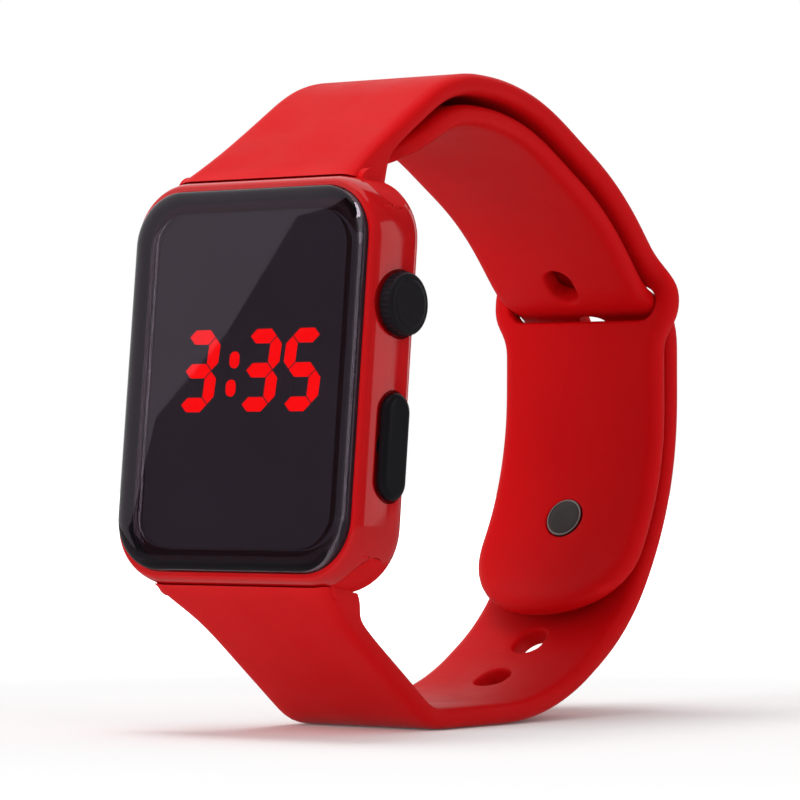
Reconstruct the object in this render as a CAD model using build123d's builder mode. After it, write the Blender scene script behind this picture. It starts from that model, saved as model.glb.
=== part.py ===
from build123d import *
from math import cos, radians, sin, tan
import os

# Digital LED watch with a closed silicone band, in millimetres.
# +Z is up and towards twelve o'clock, -Y is the side that the display faces,
# +X is the side with the crown. The origin is the middle of the flat run of
# the lower strap that the watch stands on.

# Stance of the watch on its strap
loop_depth = 70.2
loop_height = 72.5
dial_height = 38.1
rest_middle_share = 0.4059
dial_lean_deg = 5.9

# Case
case_width = 34.0
case_length = 44.4
case_corner = 7.0
rim_setback = 1.0
case_depth = 8.0
rim_edge = 1.2
back_edge = 2.6

# Front lens
lens_side_rim = 1.45
lens_end_rim = 1.7
lens_width = case_width - 2 * lens_side_rim
lens_length = case_length - 2 * lens_end_rim
lens_corner = 5.8
lens_crown = 0.9
lens_skirt = 1.7
lens_edge = 1.05
lens_pocket_depth = 0.9
lens_fit = 0.12
adhesive_thickness = 0.2
adhesive_width = 1.4
ledge_thickness = 1.0
lens_flange = 2.35
window_width = lens_width - 2 * lens_flange
window_length = lens_length - 2 * lens_flange
window_corner = 4.0

# Space for the works
side_wall = 2.3
end_wall = 4.8
cavity_width = case_width - 2 * side_wall
cavity_length = case_length - 2 * end_wall
cavity_corner = 3.0
boss_radius = 1.8
boss_inset = 2.1
boss_spread_x = cavity_width - 2 * boss_inset
boss_spread_y = cavity_length - 2 * boss_inset

# Back cover, its seal and its screws
cover_side = 1.3
cover_end = 2.9
cover_width = case_width - 2 * cover_side
cover_length = case_length - 2 * cover_end
cover_corner = 5.0
cover_thickness = 1.0
cover_pad_inset = 5.0
cover_pad_width = cover_width - 2 * cover_pad_inset
cover_pad_length = cover_length - 2 * cover_pad_inset
cover_pad_corner = 6.0
cover_pad_rise = 0.5
cover_edge = 0.3
gasket_width = 0.6
gasket_height = 0.3
gasket_inset = 0.2
screw_radius = 0.7
screw_bite = 0.02
screw_length = 3.6
screw_head_radius = 1.15
screw_head_height = 0.5
screw_slot_width = 0.3
screw_slot_depth = 0.22

# Display
digit_height = 8.8
digit_width = 5.15
digit_pitch = 5.79
segment_width = 1.5
segment_cut = 0.22
slant_deg = 5.2
display_rise = 1.07
last_digit_x = 7.47
colon_x = -1.92
colon_rise = 0.69
colon_spread = 3.03
colon_width = 1.3
colon_height = 1.8
hour_gap = 8.36
tens_gap = 5.6
mask_fit = 0.1
lens_air = 0.05
diffuser_thickness = 0.75
led_length = 1.6
led_width = 0.8
led_height = 0.3

# Circuit board and what it carries
board_thickness = 0.8
board_fit = 0.2
chip_length = 5.2
chip_width = 3.8
chip_height = 1.1
chip_inset = 3.8
chip_y = cavity_length / 2 - chip_inset
crystal_radius = 0.8
crystal_length = 5.0
crystal_inset = 3.0
crystal_y = crystal_inset - cavity_length / 2
switch_depth = 2.2
switch_length = 4.4
switch_height = 2.2
switch_tip_radius = 0.6
switch_tip_length = 0.35

# Battery and its holder
battery_radius = 10.0
battery_height = 2.5
battery_fit = 0.15
battery_wall = 0.4
holder_height = 3.5
holder_floor = 0.5
holder_fit = 0.25
holder_wall = 1.0
battery_x = holder_fit + battery_wall + battery_fit + battery_radius - cavity_width / 2
pocket_length = 6.0
contact_thickness = 0.15
contact_width = 3.0
contact_length = 12.0
strip_width = 3.2

# Crown
crown_y = 8.3
crown_z = -4.9
crown_radius = 3.45
crown_thickness = 1.65
crown_gap = 0.65
crown_edge = 0.45
crown_ribs = 36
crown_rib_depth = 0.16
crown_face_radius = 2.5
crown_face_rise = 0.14
crown_pocket_radius = 3.7
crown_pocket_depth = 0.9
crown_spring_well = 1.1
crown_spring_inner = 1.45
crown_spring_outer = 2.0
spring_room = 0.12
stem_radius = 0.8
stem_turn_gap = 0.05
stem_socket = 1.2
stem_bore_gap = 0.1
seal_radius = 0.34
seal_gap = 0.03
clip_radius = 1.1
clip_thickness = 0.3
clip_room = 0.25
press_travel = 0.5
switch_clearance = 0.1

# Side button
button_y = -6.8
button_length = 11.4
button_height = 4.2
button_proud = 0.9
button_edge = 0.35
button_gap = 0.3
button_pocket_depth = 0.8
button_spring_spread = 7.0
button_spring_inner = 0.55
button_spring_outer = 0.95
button_spring_well = 0.5

# Strap grooves in the ends of the case
groove_inset = 1.45
groove_z = -4.7
bead_radius = 2.2
bead_gap = 0.06

# Straps
strap_thickness = 2.4
pad_gap = 1.5
tongue_gap = 1.0
strap_edge = 0.95
lug_width = 27.0
lug_front = 2.1
lug_back = 8.4
lug_blend = 9.5
lug_crease = 8.0
hole_strap_width = 20.6
pin_strap_width = 22.0
slot_side = 0.3
slot_bridge = 2.3
waist_width = 22.0
pad_width = 22.3
slot_bottom = 45.5
slot_top = 51.0
slot_corner = 1.2
flare_reach = 4.0
pad_height = 25.0
pin_tip_height = 11.9
pin_tip_reach = 7.5
tongue_tip_reach = 8.0
tongue_tip_setback = 9.0
lug_taper = 7.8
hole_width = 3.6
hole_length = 4.8
hole_pitch = 8.7
stud_reach = 77.6
holes_before = 3
holes_after = 4

# Stud that closes the band
stud_head_radius = 2.9
stud_head_height = 1.1
stud_head_edge = 0.7
stud_neck_radius = 1.6
stud_shank_radius = 1.2
stud_fit = 0.05
stud_tip_radius = 0.75
disc_radius = 2.35
disc_thickness = 0.5
disc_edge = 0.15
disc_socket = 0.3

# Corners of the band's outer surface, from the case round the back, as shares
# of the loop's depth and height, and how much of the shorter run beside each
# corner its bend takes, as a share
loop_corner_shares = [
    (0.299, 0.0),
    (0.6331, 0.0),
    (0.8644, 0.1361),
    (1.0, 0.3626),
    (1.0, 0.6537),
    (0.816, 0.8481),
    (0.5532, 0.9924),
    (0.3444, 1.0),
]
loop_bend_shares = [0.059, 0.477, 0.384, 0.535, 0.394, 0.332, 0.534, 0.364]
hole_swap_share = 0.27
pin_swap_share = 0.26
cross_bend_share = 0.45
swap_in_bend_share = 0.25
swap_out_bend_share = 0.3
swap_end_bend_share = 0.35
pin_end_share = 0.42
tongue_end_share = 0.66

# Small common values
overrun = 1.0
curl_share = 0.45
tip_bulge_share = 0.62

# Places worked out from the sizes above
setback = loop_depth * rest_middle_share
lean = radians(dial_lean_deg)
case_front = -rim_setback
case_back = case_front - case_depth
seat_z = -lens_skirt - adhesive_thickness
ledge_back = seat_z - ledge_thickness
board_back = ledge_back - board_thickness
cover_seat = case_back + cover_thickness
side_x = case_width / 2
wall_x = cavity_width / 2
end_y = case_length / 2
pad_pitch = strap_thickness + pad_gap
tongue_pitch = strap_thickness + tongue_gap
slot_width = hole_strap_width + 2 * slot_side
flare_width = slot_width + 2 * slot_bridge
crown_foot = side_x - crown_pocket_depth + crown_gap
button_floor = side_x - button_pocket_depth
plunger_end = wall_x - clip_room - clip_thickness - press_travel - clip_room
switch_x = plunger_end - press_travel - switch_clearance - switch_tip_length

# Planes of the dial and of the case seen from its crown side
dial = Plane(
    origin=(0, -setback, dial_height),
    x_dir=(1, 0, 0),
    z_dir=(0, -cos(lean), sin(lean)),
)
side = Plane(origin=dial.origin, x_dir=dial.y_dir, z_dir=(1, 0, 0))


def level(height):
    """The dial plane raised by a height, negative towards the wrist."""
    return dial.offset(height)


def across(x, y, z):
    """A plane facing +X whose origin is a point of the dial's frame."""
    return Plane(origin=dial.from_local_coords((x, y, z)), x_dir=dial.y_dir, z_dir=(1, 0, 0))


def inset(corners, depth):
    """The corners of a line of straight runs moved towards the wrist."""
    moved = []
    for index, corner in enumerate(corners):
        before = corners[max(index - 1, 0)]
        after = corners[min(index + 1, len(corners) - 1)]
        arriving = (corner - before).normalized() if index else None
        leaving = (after - corner).normalized() if after != corner else None
        arriving = arriving or leaving
        leaving = leaving or arriving
        middle = (arriving + leaving).normalized()
        inward = Vector(-middle.Y, middle.X)
        moved.append(corner + inward * (depth / middle.dot(arriving)))
    return moved


def bend_radii(corners, shares):
    """The radius at each inner corner from its share of the shorter run."""
    radii = []
    for before, corner, after, share in zip(corners, corners[1:], corners[2:], shares):
        arriving, leaving = corner - before, after - corner
        shorter = min(arriving.length, leaving.length)
        radii.append(share * shorter / tan(radians(arriving.get_angle(leaving) / 2)))
    return radii


def band_run(corners, radii):
    """A line in the YZ plane with rounded corners."""
    with BuildLine(Plane.YZ) as run:
        FilletPolyline(*[(corner.X, corner.Y) for corner in corners], radius=radii)
    return run.wire()


def band_face(corners, radii):
    """The side view of a band of even thickness about its middle line."""
    half = strap_thickness / 2
    turns = [
        1 if (corner - before).cross(after - corner).Z > 0 else -1
        for before, corner, after in zip(corners, corners[1:], corners[2:])
    ]
    with BuildSketch(Plane.YZ) as outline:
        with BuildLine():
            left = FilletPolyline(
                *[(corner.X, corner.Y) for corner in inset(corners, half)],
                radius=[radius - turn * half for radius, turn in zip(radii, turns)],
            )
            right = FilletPolyline(
                *[(corner.X, corner.Y) for corner in inset(corners, -half)],
                radius=[radius + turn * half for radius, turn in zip(radii, turns)],
            )
            Line(left @ 0, right @ 0)
            Line(left @ 1, right @ 1)
        make_face()
    return outline.sketch


def run_plane(run, distance):
    """The plane on a band's middle line, facing away from the wrist."""
    point = run.position_at(distance, position_mode=PositionMode.LENGTH)
    along = run.tangent_at(distance, position_mode=PositionMode.LENGTH)
    return Plane(origin=point, x_dir=(1, 0, 0), z_dir=along.cross(Vector(1, 0, 0)))


# Outer corners of the band in the YZ plane
band_corners = [
    Vector(depth * loop_depth - setback, height * loop_height)
    for depth, height in loop_corner_shares
]
lower_exit = side.from_local_coords((-end_y, -lug_front))
upper_exit = side.from_local_coords((end_y, -lug_front))
band_corners.insert(0, Vector(lower_exit.Y, lower_exit.Z))
band_corners.append(Vector(upper_exit.Y, upper_exit.Z))
outer_line = inset(band_corners, strap_thickness / 2)
pad_line = inset(band_corners, strap_thickness / 2 + pad_pitch)
tongue_line = inset(band_corners, strap_thickness / 2 + tongue_pitch)
outer_radii = bend_radii(outer_line, loop_bend_shares)
pad_radii = [radius - pad_pitch for radius in outer_radii]
tongue_radii = [radius - tongue_pitch for radius in outer_radii]


def between(start, end, share):
    """A point between two others."""
    return start + (end - start) * share


# Middle line of the hole strap: outside at the back, inside above the slot
hole_corners = (
    outer_line[:6]
    + [between(tongue_line[5], tongue_line[6], hole_swap_share)]
    + tongue_line[6:9]
    + [between(tongue_line[8], tongue_line[9], tongue_end_share)]
)
hole_radii = (
    outer_radii[:4]
    + bend_radii(hole_corners[4:8], [cross_bend_share, swap_in_bend_share])
    + tongue_radii[5:8]
)
hole_run = band_run(hole_corners, hole_radii)

# Middle line of the pin strap: outside above the slot, inside below it
pin_corners = (
    [outer_line[9], outer_line[8], outer_line[7], outer_line[6]]
    + [between(outer_line[5], outer_line[6], pin_swap_share)]
    + [pad_line[5], pad_line[4], pad_line[3]]
    + [between(pad_line[3], pad_line[2], pin_end_share)]
)
pin_radii = (
    outer_radii[:4:-1]
    + bend_radii(pin_corners[3:7], [swap_out_bend_share, swap_end_bend_share])
    + pad_radii[3:1:-1]
)
stud_plane = run_plane(hole_run, stud_reach)

# Case body
with BuildPart() as case_body:
    with BuildSketch(level(case_back)):
        RectangleRounded(case_width, case_length, case_corner)
    extrude(amount=case_depth)
    fillet(case_body.faces().sort_by(Axis(dial.origin, dial.z_dir))[-1].edges(), rim_edge)
    fillet(case_body.faces().sort_by(Axis(dial.origin, dial.z_dir))[0].edges(), back_edge)
    with BuildSketch(level(seat_z)):
        RectangleRounded(
            lens_width + 2 * lens_fit, lens_length + 2 * lens_fit, lens_corner + lens_fit
        )
    extrude(amount=overrun - seat_z, mode=Mode.SUBTRACT)
    with BuildSketch(level(ledge_back - overrun)):
        RectangleRounded(window_width, window_length, window_corner)
    extrude(amount=ledge_thickness + 2 * overrun, mode=Mode.SUBTRACT)
    with BuildSketch(level(case_back - overrun)):
        RectangleRounded(cavity_width, cavity_length, cavity_corner)
    extrude(amount=ledge_back - case_back + overrun, mode=Mode.SUBTRACT)
    with BuildSketch(level(case_back - overrun)):
        RectangleRounded(cover_width, cover_length, cover_corner)
    extrude(amount=cover_thickness + overrun, mode=Mode.SUBTRACT)
    # Screw bosses in the cavity's corners
    with BuildSketch(level(cover_seat)):
        with GridLocations(boss_spread_x, boss_spread_y, 2, 2):
            Circle(boss_radius)
    extrude(amount=ledge_back - cover_seat)
    with BuildSketch(level(cover_seat)):
        with GridLocations(boss_spread_x, boss_spread_y, 2, 2):
            Circle(screw_radius + screw_bite)
    extrude(amount=screw_length, mode=Mode.SUBTRACT)
    # Grooves that hold the straps' beads
    with BuildSketch(side):
        with Locations((end_y - groove_inset, groove_z), (groove_inset - end_y, groove_z)):
            Circle(bead_radius + bead_gap)
    extrude(amount=case_width, both=True, mode=Mode.SUBTRACT)
    # Crown pocket, seal pocket and stem bore
    with BuildSketch(across(side_x, crown_y, crown_z)):
        Circle(crown_pocket_radius)
    extrude(amount=-crown_pocket_depth, mode=Mode.SUBTRACT)
    with BuildSketch(across(side_x - crown_pocket_depth, crown_y, crown_z)):
        Circle(stem_radius + 2 * seal_radius + seal_gap)
    extrude(amount=-2 * seal_radius - seal_gap, mode=Mode.SUBTRACT)
    with BuildSketch(across(side_x, crown_y, crown_z)):
        Circle(stem_radius + stem_bore_gap)
    extrude(amount=wall_x - side_x - overrun, mode=Mode.SUBTRACT)
    # Button pocket, seal pocket and post bore
    with BuildSketch(across(side_x, button_y, crown_z)):
        SlotOverall(button_length + 2 * button_gap, button_height + 2 * button_gap)
    extrude(amount=-button_pocket_depth, mode=Mode.SUBTRACT)
    with BuildSketch(across(button_floor, button_y, crown_z)):
        Circle(stem_radius + 2 * seal_radius + seal_gap)
    extrude(amount=-2 * seal_radius - seal_gap, mode=Mode.SUBTRACT)
    with BuildSketch(across(side_x, button_y, crown_z)):
        Circle(stem_radius + stem_bore_gap)
    extrude(amount=wall_x - side_x - overrun, mode=Mode.SUBTRACT)

# Front lens with its rounded border
with BuildPart() as front_lens:
    with BuildSketch(level(-lens_skirt)):
        RectangleRounded(lens_width, lens_length, lens_corner)
    extrude(amount=lens_skirt + lens_crown)
    fillet(front_lens.faces().sort_by(Axis(dial.origin, dial.z_dir))[-1].edges(), lens_edge)
    # Shallow pocket in the back, over the window
    with BuildSketch(level(-lens_skirt)):
        RectangleRounded(
            window_width - 2 * mask_fit, window_length - 2 * mask_fit, window_corner - mask_fit
        )
    extrude(amount=lens_pocket_depth, mode=Mode.SUBTRACT)

# Adhesive frame between the lens and its ledge
with BuildPart() as lens_adhesive:
    with BuildSketch(level(seat_z)):
        RectangleRounded(lens_width, lens_length, lens_corner)
        RectangleRounded(
            lens_width - 2 * adhesive_width,
            lens_length - 2 * adhesive_width,
            lens_corner - adhesive_width,
            mode=Mode.SUBTRACT,
        )
    extrude(amount=adhesive_thickness)

# Places of the digits and the segments that light in each
hour_x = last_digit_x - digit_pitch - hour_gap
minute_x = last_digit_x - digit_pitch
tens_x = hour_x - tens_gap
lit_by_place = {hour_x: "abgcd", minute_x: "abgcd", last_digit_x: "afgcd"}
bar_length = digit_width - segment_width - segment_cut
post_length = (digit_height - segment_width) / 2 - segment_cut
half_width = (digit_width - segment_width) / 2
half_height = (digit_height - segment_width) / 2
segment_places = {
    "a": (0, half_height, True),
    "b": (half_width, half_height / 2, False),
    "c": (half_width, -half_height / 2, False),
    "d": (0, -half_height, True),
    "e": (-half_width, -half_height / 2, False),
    "f": (-half_width, half_height / 2, False),
    "g": (0, 0, True),
}


def segment_outline(x, y, flat, grow):
    """The six-cornered outline of one segment, leaning with the digits."""
    half = (bar_length if flat else post_length) / 2 + grow
    thick = segment_width / 2 + grow
    tip = half - thick
    ends = [(-half, 0), (-tip, thick), (tip, thick), (half, 0), (tip, -thick), (-tip, -thick)]
    if not flat:
        ends = [(-v, u) for u, v in ends]
    lean_rate = tan(radians(slant_deg))
    return [(x + u + (y + v) * lean_rate, display_rise + y + v) for u, v in ends]


def segments(names, grow=0.0):
    """Faces of the named segments at their digit places."""
    for place, letters in names.items():
        for letter in letters:
            x, y, flat = segment_places[letter]
            Polygon(*segment_outline(place + x, y, flat, grow), align=None)


def colon_dots(grow=0.0):
    """The two leaning dots between hours and minutes."""
    for y in (colon_spread / 2, -colon_spread / 2):
        shift = y * tan(radians(slant_deg))
        with Locations((colon_x + shift, colon_rise + y)):
            SlotOverall(colon_height + 2 * grow, colon_width + 2 * grow, rotation=90)


all_by_place = {place: "abcdefg" for place in lit_by_place}
all_by_place[tens_x] = "bc"
dark_by_place = {
    place: [letter for letter in letters if letter not in lit_by_place.get(place, "")]
    for place, letters in all_by_place.items()
}
front_of_mask = -lens_skirt - lens_air

# Mask with a window for every segment
with BuildPart() as segment_mask:
    with BuildSketch(level(ledge_back)):
        RectangleRounded(
            window_width - 2 * mask_fit, window_length - 2 * mask_fit, window_corner - mask_fit
        )
    extrude(amount=front_of_mask - ledge_back)
    with BuildSketch(level(ledge_back)):
        segments(all_by_place, lens_air)
        colon_dots(lens_air)
    extrude(amount=front_of_mask - ledge_back, mode=Mode.SUBTRACT)

# Light guides of the segments that are on, for the time 3:35
with BuildPart() as lit_segments:
    with BuildSketch(level(front_of_mask - diffuser_thickness)):
        segments(lit_by_place)
        colon_dots()
    extrude(amount=diffuser_thickness)

# Light guides of the segments that are off
with BuildPart() as dark_segments:
    with BuildSketch(level(front_of_mask - diffuser_thickness)):
        segments(dark_by_place)
    extrude(amount=diffuser_thickness)

# Circuit board, notched round the screw bosses
with BuildPart() as circuit_board:
    with BuildSketch(level(board_back)):
        RectangleRounded(
            cavity_width - 2 * board_fit, cavity_length - 2 * board_fit, cavity_corner
        )
        with GridLocations(boss_spread_x, boss_spread_y, 2, 2):
            Circle(boss_radius + board_fit, mode=Mode.SUBTRACT)
    extrude(amount=board_thickness)

# One lamp behind every segment
with BuildPart() as led_chips:
    with BuildSketch(level(ledge_back)):
        for place, letters in all_by_place.items():
            for letter in letters:
                x, y, flat = segment_places[letter]
                shift = y * tan(radians(slant_deg))
                with Locations((place + x + shift, display_rise + y)):
                    Rectangle(led_length if flat else led_width, led_width if flat else led_length)
        for y in (colon_spread / 2, -colon_spread / 2):
            with Locations((colon_x + y * tan(radians(slant_deg)), colon_rise + y)):
                Rectangle(led_width, led_width)
    extrude(amount=led_height)

# Driver chip on the back of the board
with BuildPart() as driver_chip:
    with BuildSketch(level(board_back - chip_height)):
        with Locations((0, chip_y)):
            Rectangle(chip_length, chip_width)
    extrude(amount=chip_height)
    chamfer(driver_chip.edges().filter_by(Axis.X), chip_height * curl_share / 2)

# Quartz crystal can lying on the board
with BuildPart() as quartz_crystal:
    with BuildSketch(across(-crystal_length / 2, crystal_y, board_back - crystal_radius)):
        Circle(crystal_radius)
    extrude(amount=crystal_length)
    fillet(quartz_crystal.edges(), crystal_radius * curl_share / 2)


def switch_body(y):
    """A side switch on the board with its tip towards the crown side."""
    with BuildSketch(level(board_back - switch_height)) as case_outline:
        with Locations((switch_x - switch_depth / 2, y)):
            Rectangle(switch_depth, switch_length)
    extrude(case_outline.sketch, amount=switch_height)
    with BuildSketch(across(switch_x, y, crown_z)) as tip_outline:
        Circle(switch_tip_radius)
    extrude(tip_outline.sketch, amount=switch_tip_length)


with BuildPart() as crown_switch:
    switch_body(crown_y)

with BuildPart() as button_switch:
    switch_body(button_y)

# Holder that fills the cavity round the battery
holder_front = board_back
holder_back = holder_front - holder_height
with BuildPart() as battery_holder:
    with BuildSketch(level(holder_back)):
        RectangleRounded(
            cavity_width - 2 * holder_fit, cavity_length - 2 * holder_fit, cavity_corner
        )
        with GridLocations(boss_spread_x, boss_spread_y, 2, 2):
            Circle(boss_radius + holder_fit, mode=Mode.SUBTRACT)
    extrude(amount=holder_height)
    with BuildSketch(level(holder_back - overrun)):
        with Locations((battery_x, 0)):
            Circle(battery_radius + battery_fit)
    extrude(amount=holder_height - holder_floor + overrun, mode=Mode.SUBTRACT)
    # Rooms for the switches, the plungers and the parts on the board
    room = cavity_width / 2 - (switch_x - switch_depth - battery_fit)
    with BuildSketch(level(holder_back - overrun)):
        with Locations((wall_x - room / 2, crown_y), (wall_x - room / 2, button_y)):
            Rectangle(room, pocket_length)
    extrude(amount=holder_height + 2 * overrun, mode=Mode.SUBTRACT)
    room_start = battery_radius + battery_fit + holder_wall
    room_end = cavity_length / 2 - holder_fit - holder_wall
    with BuildSketch(level(holder_front)):
        with GridLocations(0, room_start + room_end, 1, 2):
            Rectangle(
                boss_spread_x - 2 * (boss_radius + holder_fit + holder_wall),
                room_end - room_start,
            )
    extrude(amount=holder_wall - holder_height, mode=Mode.SUBTRACT)

# Coin cell, with its negative side towards the board
battery_front = holder_front - holder_floor - contact_thickness
with BuildPart() as coin_battery:
    with BuildSketch(level(battery_front - battery_height)):
        with Locations((battery_x, 0)):
            Circle(battery_radius)
    extrude(amount=battery_height)
    fillet(
        coin_battery.faces().sort_by(Axis(dial.origin, dial.z_dir))[0].edges(),
        battery_height * curl_share / 2,
    )

# Contact strip under the battery
with BuildPart() as negative_contact:
    with BuildSketch(level(battery_front)):
        with Locations((battery_x, 0)):
            SlotOverall(contact_length, contact_width)
    extrude(amount=contact_thickness)

# Strip over the battery, held on the holder's back
with BuildPart() as battery_strip:
    with BuildSketch(level(holder_back - contact_thickness)):
        with Locations((battery_x, 0)):
            SlotOverall(2 * battery_radius + 2 * battery_fit + strip_width, strip_width, 90)
    extrude(amount=contact_thickness)

# Back cover with a raised pad, a gasket groove and screw seats
with BuildPart() as back_cover:
    with BuildSketch(level(case_back)):
        RectangleRounded(cover_width - 2 * lens_fit, cover_length - 2 * lens_fit, cover_corner)
    extrude(amount=cover_thickness - lens_air)
    with BuildSketch(level(case_back - cover_pad_rise)):
        RectangleRounded(cover_pad_width, cover_pad_length, cover_pad_corner)
    extrude(amount=cover_pad_rise)
    fillet(
        back_cover.faces().sort_by(Axis(dial.origin, dial.z_dir))[0].edges(),
        cover_edge,
    )
    with BuildSketch(level(cover_seat - gasket_height)):
        RectangleRounded(
            cavity_width + 2 * (gasket_inset + gasket_width),
            cavity_length + 2 * (gasket_inset + gasket_width),
            cavity_corner + gasket_inset + gasket_width,
        )
        RectangleRounded(
            cavity_width + 2 * gasket_inset,
            cavity_length + 2 * gasket_inset,
            cavity_corner + gasket_inset,
            mode=Mode.SUBTRACT,
        )
    extrude(amount=gasket_height, mode=Mode.SUBTRACT)
    with BuildSketch(level(case_back - overrun)):
        with GridLocations(boss_spread_x, boss_spread_y, 2, 2):
            Circle(screw_radius + 2 * screw_bite)
    extrude(amount=cover_thickness + 2 * overrun, mode=Mode.SUBTRACT)
    with BuildSketch(level(case_back)):
        with GridLocations(boss_spread_x, boss_spread_y, 2, 2):
            Circle(screw_head_radius + lens_air)
    extrude(amount=screw_head_height, mode=Mode.SUBTRACT)

# Gasket in the cover's groove
with BuildPart() as back_gasket:
    with BuildSketch(level(cover_seat - gasket_height)):
        RectangleRounded(
            cavity_width + 2 * (gasket_inset + gasket_width),
            cavity_length + 2 * (gasket_inset + gasket_width),
            cavity_corner + gasket_inset + gasket_width,
        )
        RectangleRounded(
            cavity_width + 2 * gasket_inset,
            cavity_length + 2 * gasket_inset,
            cavity_corner + gasket_inset,
            mode=Mode.SUBTRACT,
        )
    extrude(amount=gasket_height)

# Four screws of the back cover
with BuildPart() as back_screws:
    with BuildSketch(level(case_back)):
        with GridLocations(boss_spread_x, boss_spread_y, 2, 2):
            Circle(screw_head_radius)
    extrude(amount=screw_head_height)
    with BuildSketch(level(case_back)):
        with GridLocations(boss_spread_x, boss_spread_y, 2, 2):
            Circle(screw_radius)
    extrude(amount=screw_length)
    with BuildSketch(level(case_back)):
        with GridLocations(boss_spread_x, boss_spread_y, 2, 2):
            Rectangle(2 * screw_head_radius, screw_slot_width)
            Rectangle(screw_slot_width, 2 * screw_head_radius)
    extrude(amount=screw_slot_depth, mode=Mode.SUBTRACT)

# Crown with its ribbed rim and raised face
with BuildPart() as crown:
    with BuildSketch(across(crown_foot, crown_y, crown_z)):
        Circle(crown_radius)
    extrude(amount=crown_thickness)
    fillet(crown.edges().group_by(Axis.X)[-1], crown_edge)
    chamfer(crown.edges().group_by(Axis.X)[0], crown_rib_depth)
    with BuildSketch(across(crown_foot, crown_y, crown_z)):
        with PolarLocations(crown_radius, crown_ribs):
            Circle(crown_rib_depth)
    extrude(amount=crown_thickness - crown_edge, mode=Mode.SUBTRACT)
    with BuildSketch(across(crown_foot + crown_thickness, crown_y, crown_z)):
        Circle(crown_face_radius)
    extrude(amount=crown_face_rise)
    fillet(crown.edges().group_by(Axis.X)[-1], crown_face_rise * curl_share)
    with BuildSketch(across(crown_foot, crown_y, crown_z)):
        Circle(crown_spring_outer + spring_room)
        Circle(crown_spring_inner - spring_room, mode=Mode.SUBTRACT)
    extrude(amount=crown_spring_well, mode=Mode.SUBTRACT)
    with BuildSketch(across(crown_foot, crown_y, crown_z)):
        Circle(stem_radius + stem_turn_gap)
    extrude(amount=stem_socket, mode=Mode.SUBTRACT)

# Stem that carries the crown through the wall
with BuildPart() as crown_stem:
    with BuildSketch(across(plunger_end, crown_y, crown_z)):
        Circle(stem_radius)
    extrude(amount=crown_foot + stem_socket - stem_turn_gap - plunger_end)
    with BuildSketch(across(wall_x - clip_room - clip_thickness, crown_y, crown_z)):
        Circle(stem_radius)
        Circle(stem_radius - clip_thickness, mode=Mode.SUBTRACT)
    extrude(amount=clip_thickness, mode=Mode.SUBTRACT)


def seal_ring(floor_x, y):
    """A rubber ring round a stem, seated in the wall's pocket."""
    with BuildSketch(across(floor_x - 2 * seal_radius, y, crown_z)) as ring:
        Circle(stem_radius + 2 * seal_radius)
        Circle(stem_radius + seal_gap, mode=Mode.SUBTRACT)
    extrude(ring.sketch, amount=2 * seal_radius)
    fillet(edges(), seal_radius * curl_share)


def stem_clip(y):
    """A split retaining clip in the groove of a stem."""
    with BuildSketch(across(wall_x - clip_room - clip_thickness, y, crown_z)) as split_ring:
        Circle(clip_radius)
        Circle(stem_radius - clip_thickness + seal_gap, mode=Mode.SUBTRACT)
        with Locations((-clip_radius / 2, 0)):
            Rectangle(clip_radius, stem_radius, mode=Mode.SUBTRACT)
    extrude(split_ring.sketch, amount=clip_thickness)


with BuildPart() as crown_seal:
    seal_ring(side_x - crown_pocket_depth, crown_y)

with BuildPart() as crown_clip:
    stem_clip(crown_y)

# Spring between the case wall and the crown's well
with BuildPart() as crown_spring:
    with BuildSketch(across(side_x - crown_pocket_depth, crown_y, crown_z)):
        Circle(crown_spring_outer)
        Circle(crown_spring_inner, mode=Mode.SUBTRACT)
    extrude(amount=crown_gap + crown_spring_well)

# Side button with its post
button_foot = button_floor + press_travel + spring_room
button_thickness = side_x + button_proud - button_foot
with BuildPart() as side_button:
    with BuildSketch(across(button_foot, button_y, crown_z)):
        SlotOverall(button_length, button_height)
    extrude(amount=button_thickness)
    fillet(side_button.edges().group_by(Axis.X)[-1], button_edge)
    with BuildSketch(across(button_foot, button_y, crown_z)):
        with GridLocations(button_spring_spread, 0, 2, 1):
            Circle(button_spring_outer + spring_room)
            Circle(button_spring_inner - spring_room, mode=Mode.SUBTRACT)
    extrude(amount=button_spring_well, mode=Mode.SUBTRACT)
    with BuildSketch(across(plunger_end, button_y, crown_z)):
        Circle(stem_radius)
    extrude(amount=button_foot + button_spring_well - plunger_end)
    with BuildSketch(across(wall_x - clip_room - clip_thickness, button_y, crown_z)):
        Circle(stem_radius)
        Circle(stem_radius - clip_thickness, mode=Mode.SUBTRACT)
    extrude(amount=clip_thickness, mode=Mode.SUBTRACT)

with BuildPart() as button_seal:
    seal_ring(button_floor, button_y)

with BuildPart() as button_clip:
    stem_clip(button_y)

# Two springs that push the side button out
with BuildPart() as button_springs:
    with BuildSketch(across(button_floor, button_y, crown_z)):
        with GridLocations(button_spring_spread, 0, 2, 1):
            Circle(button_spring_outer)
            Circle(button_spring_inner, mode=Mode.SUBTRACT)
    extrude(amount=button_foot + button_spring_well - button_floor)


def lug_outline(sign, corner_line):
    """The thick end of a strap between the case and its free run."""
    exit_point = Vector(*dial_side(corner_line[0]))
    onward = Vector(*dial_side(corner_line[1]))
    along = (onward - exit_point).normalized()
    outer = exit_point + along * lug_blend
    inward = Vector(along.Y, -along.X) * sign
    inner = outer + inward * strap_thickness
    return [
        (sign * (end_y + bead_gap), -lug_front),
        (outer.X, outer.Y),
        (inner.X, inner.Y),
        (sign * (end_y + bead_gap), -lug_back),
    ]


def dial_side(point):
    """A point of the YZ plane in the side view's own axes."""
    local = side.to_local_coords(Vector(0, point.X, point.Y))
    return local.X, local.Y


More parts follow.
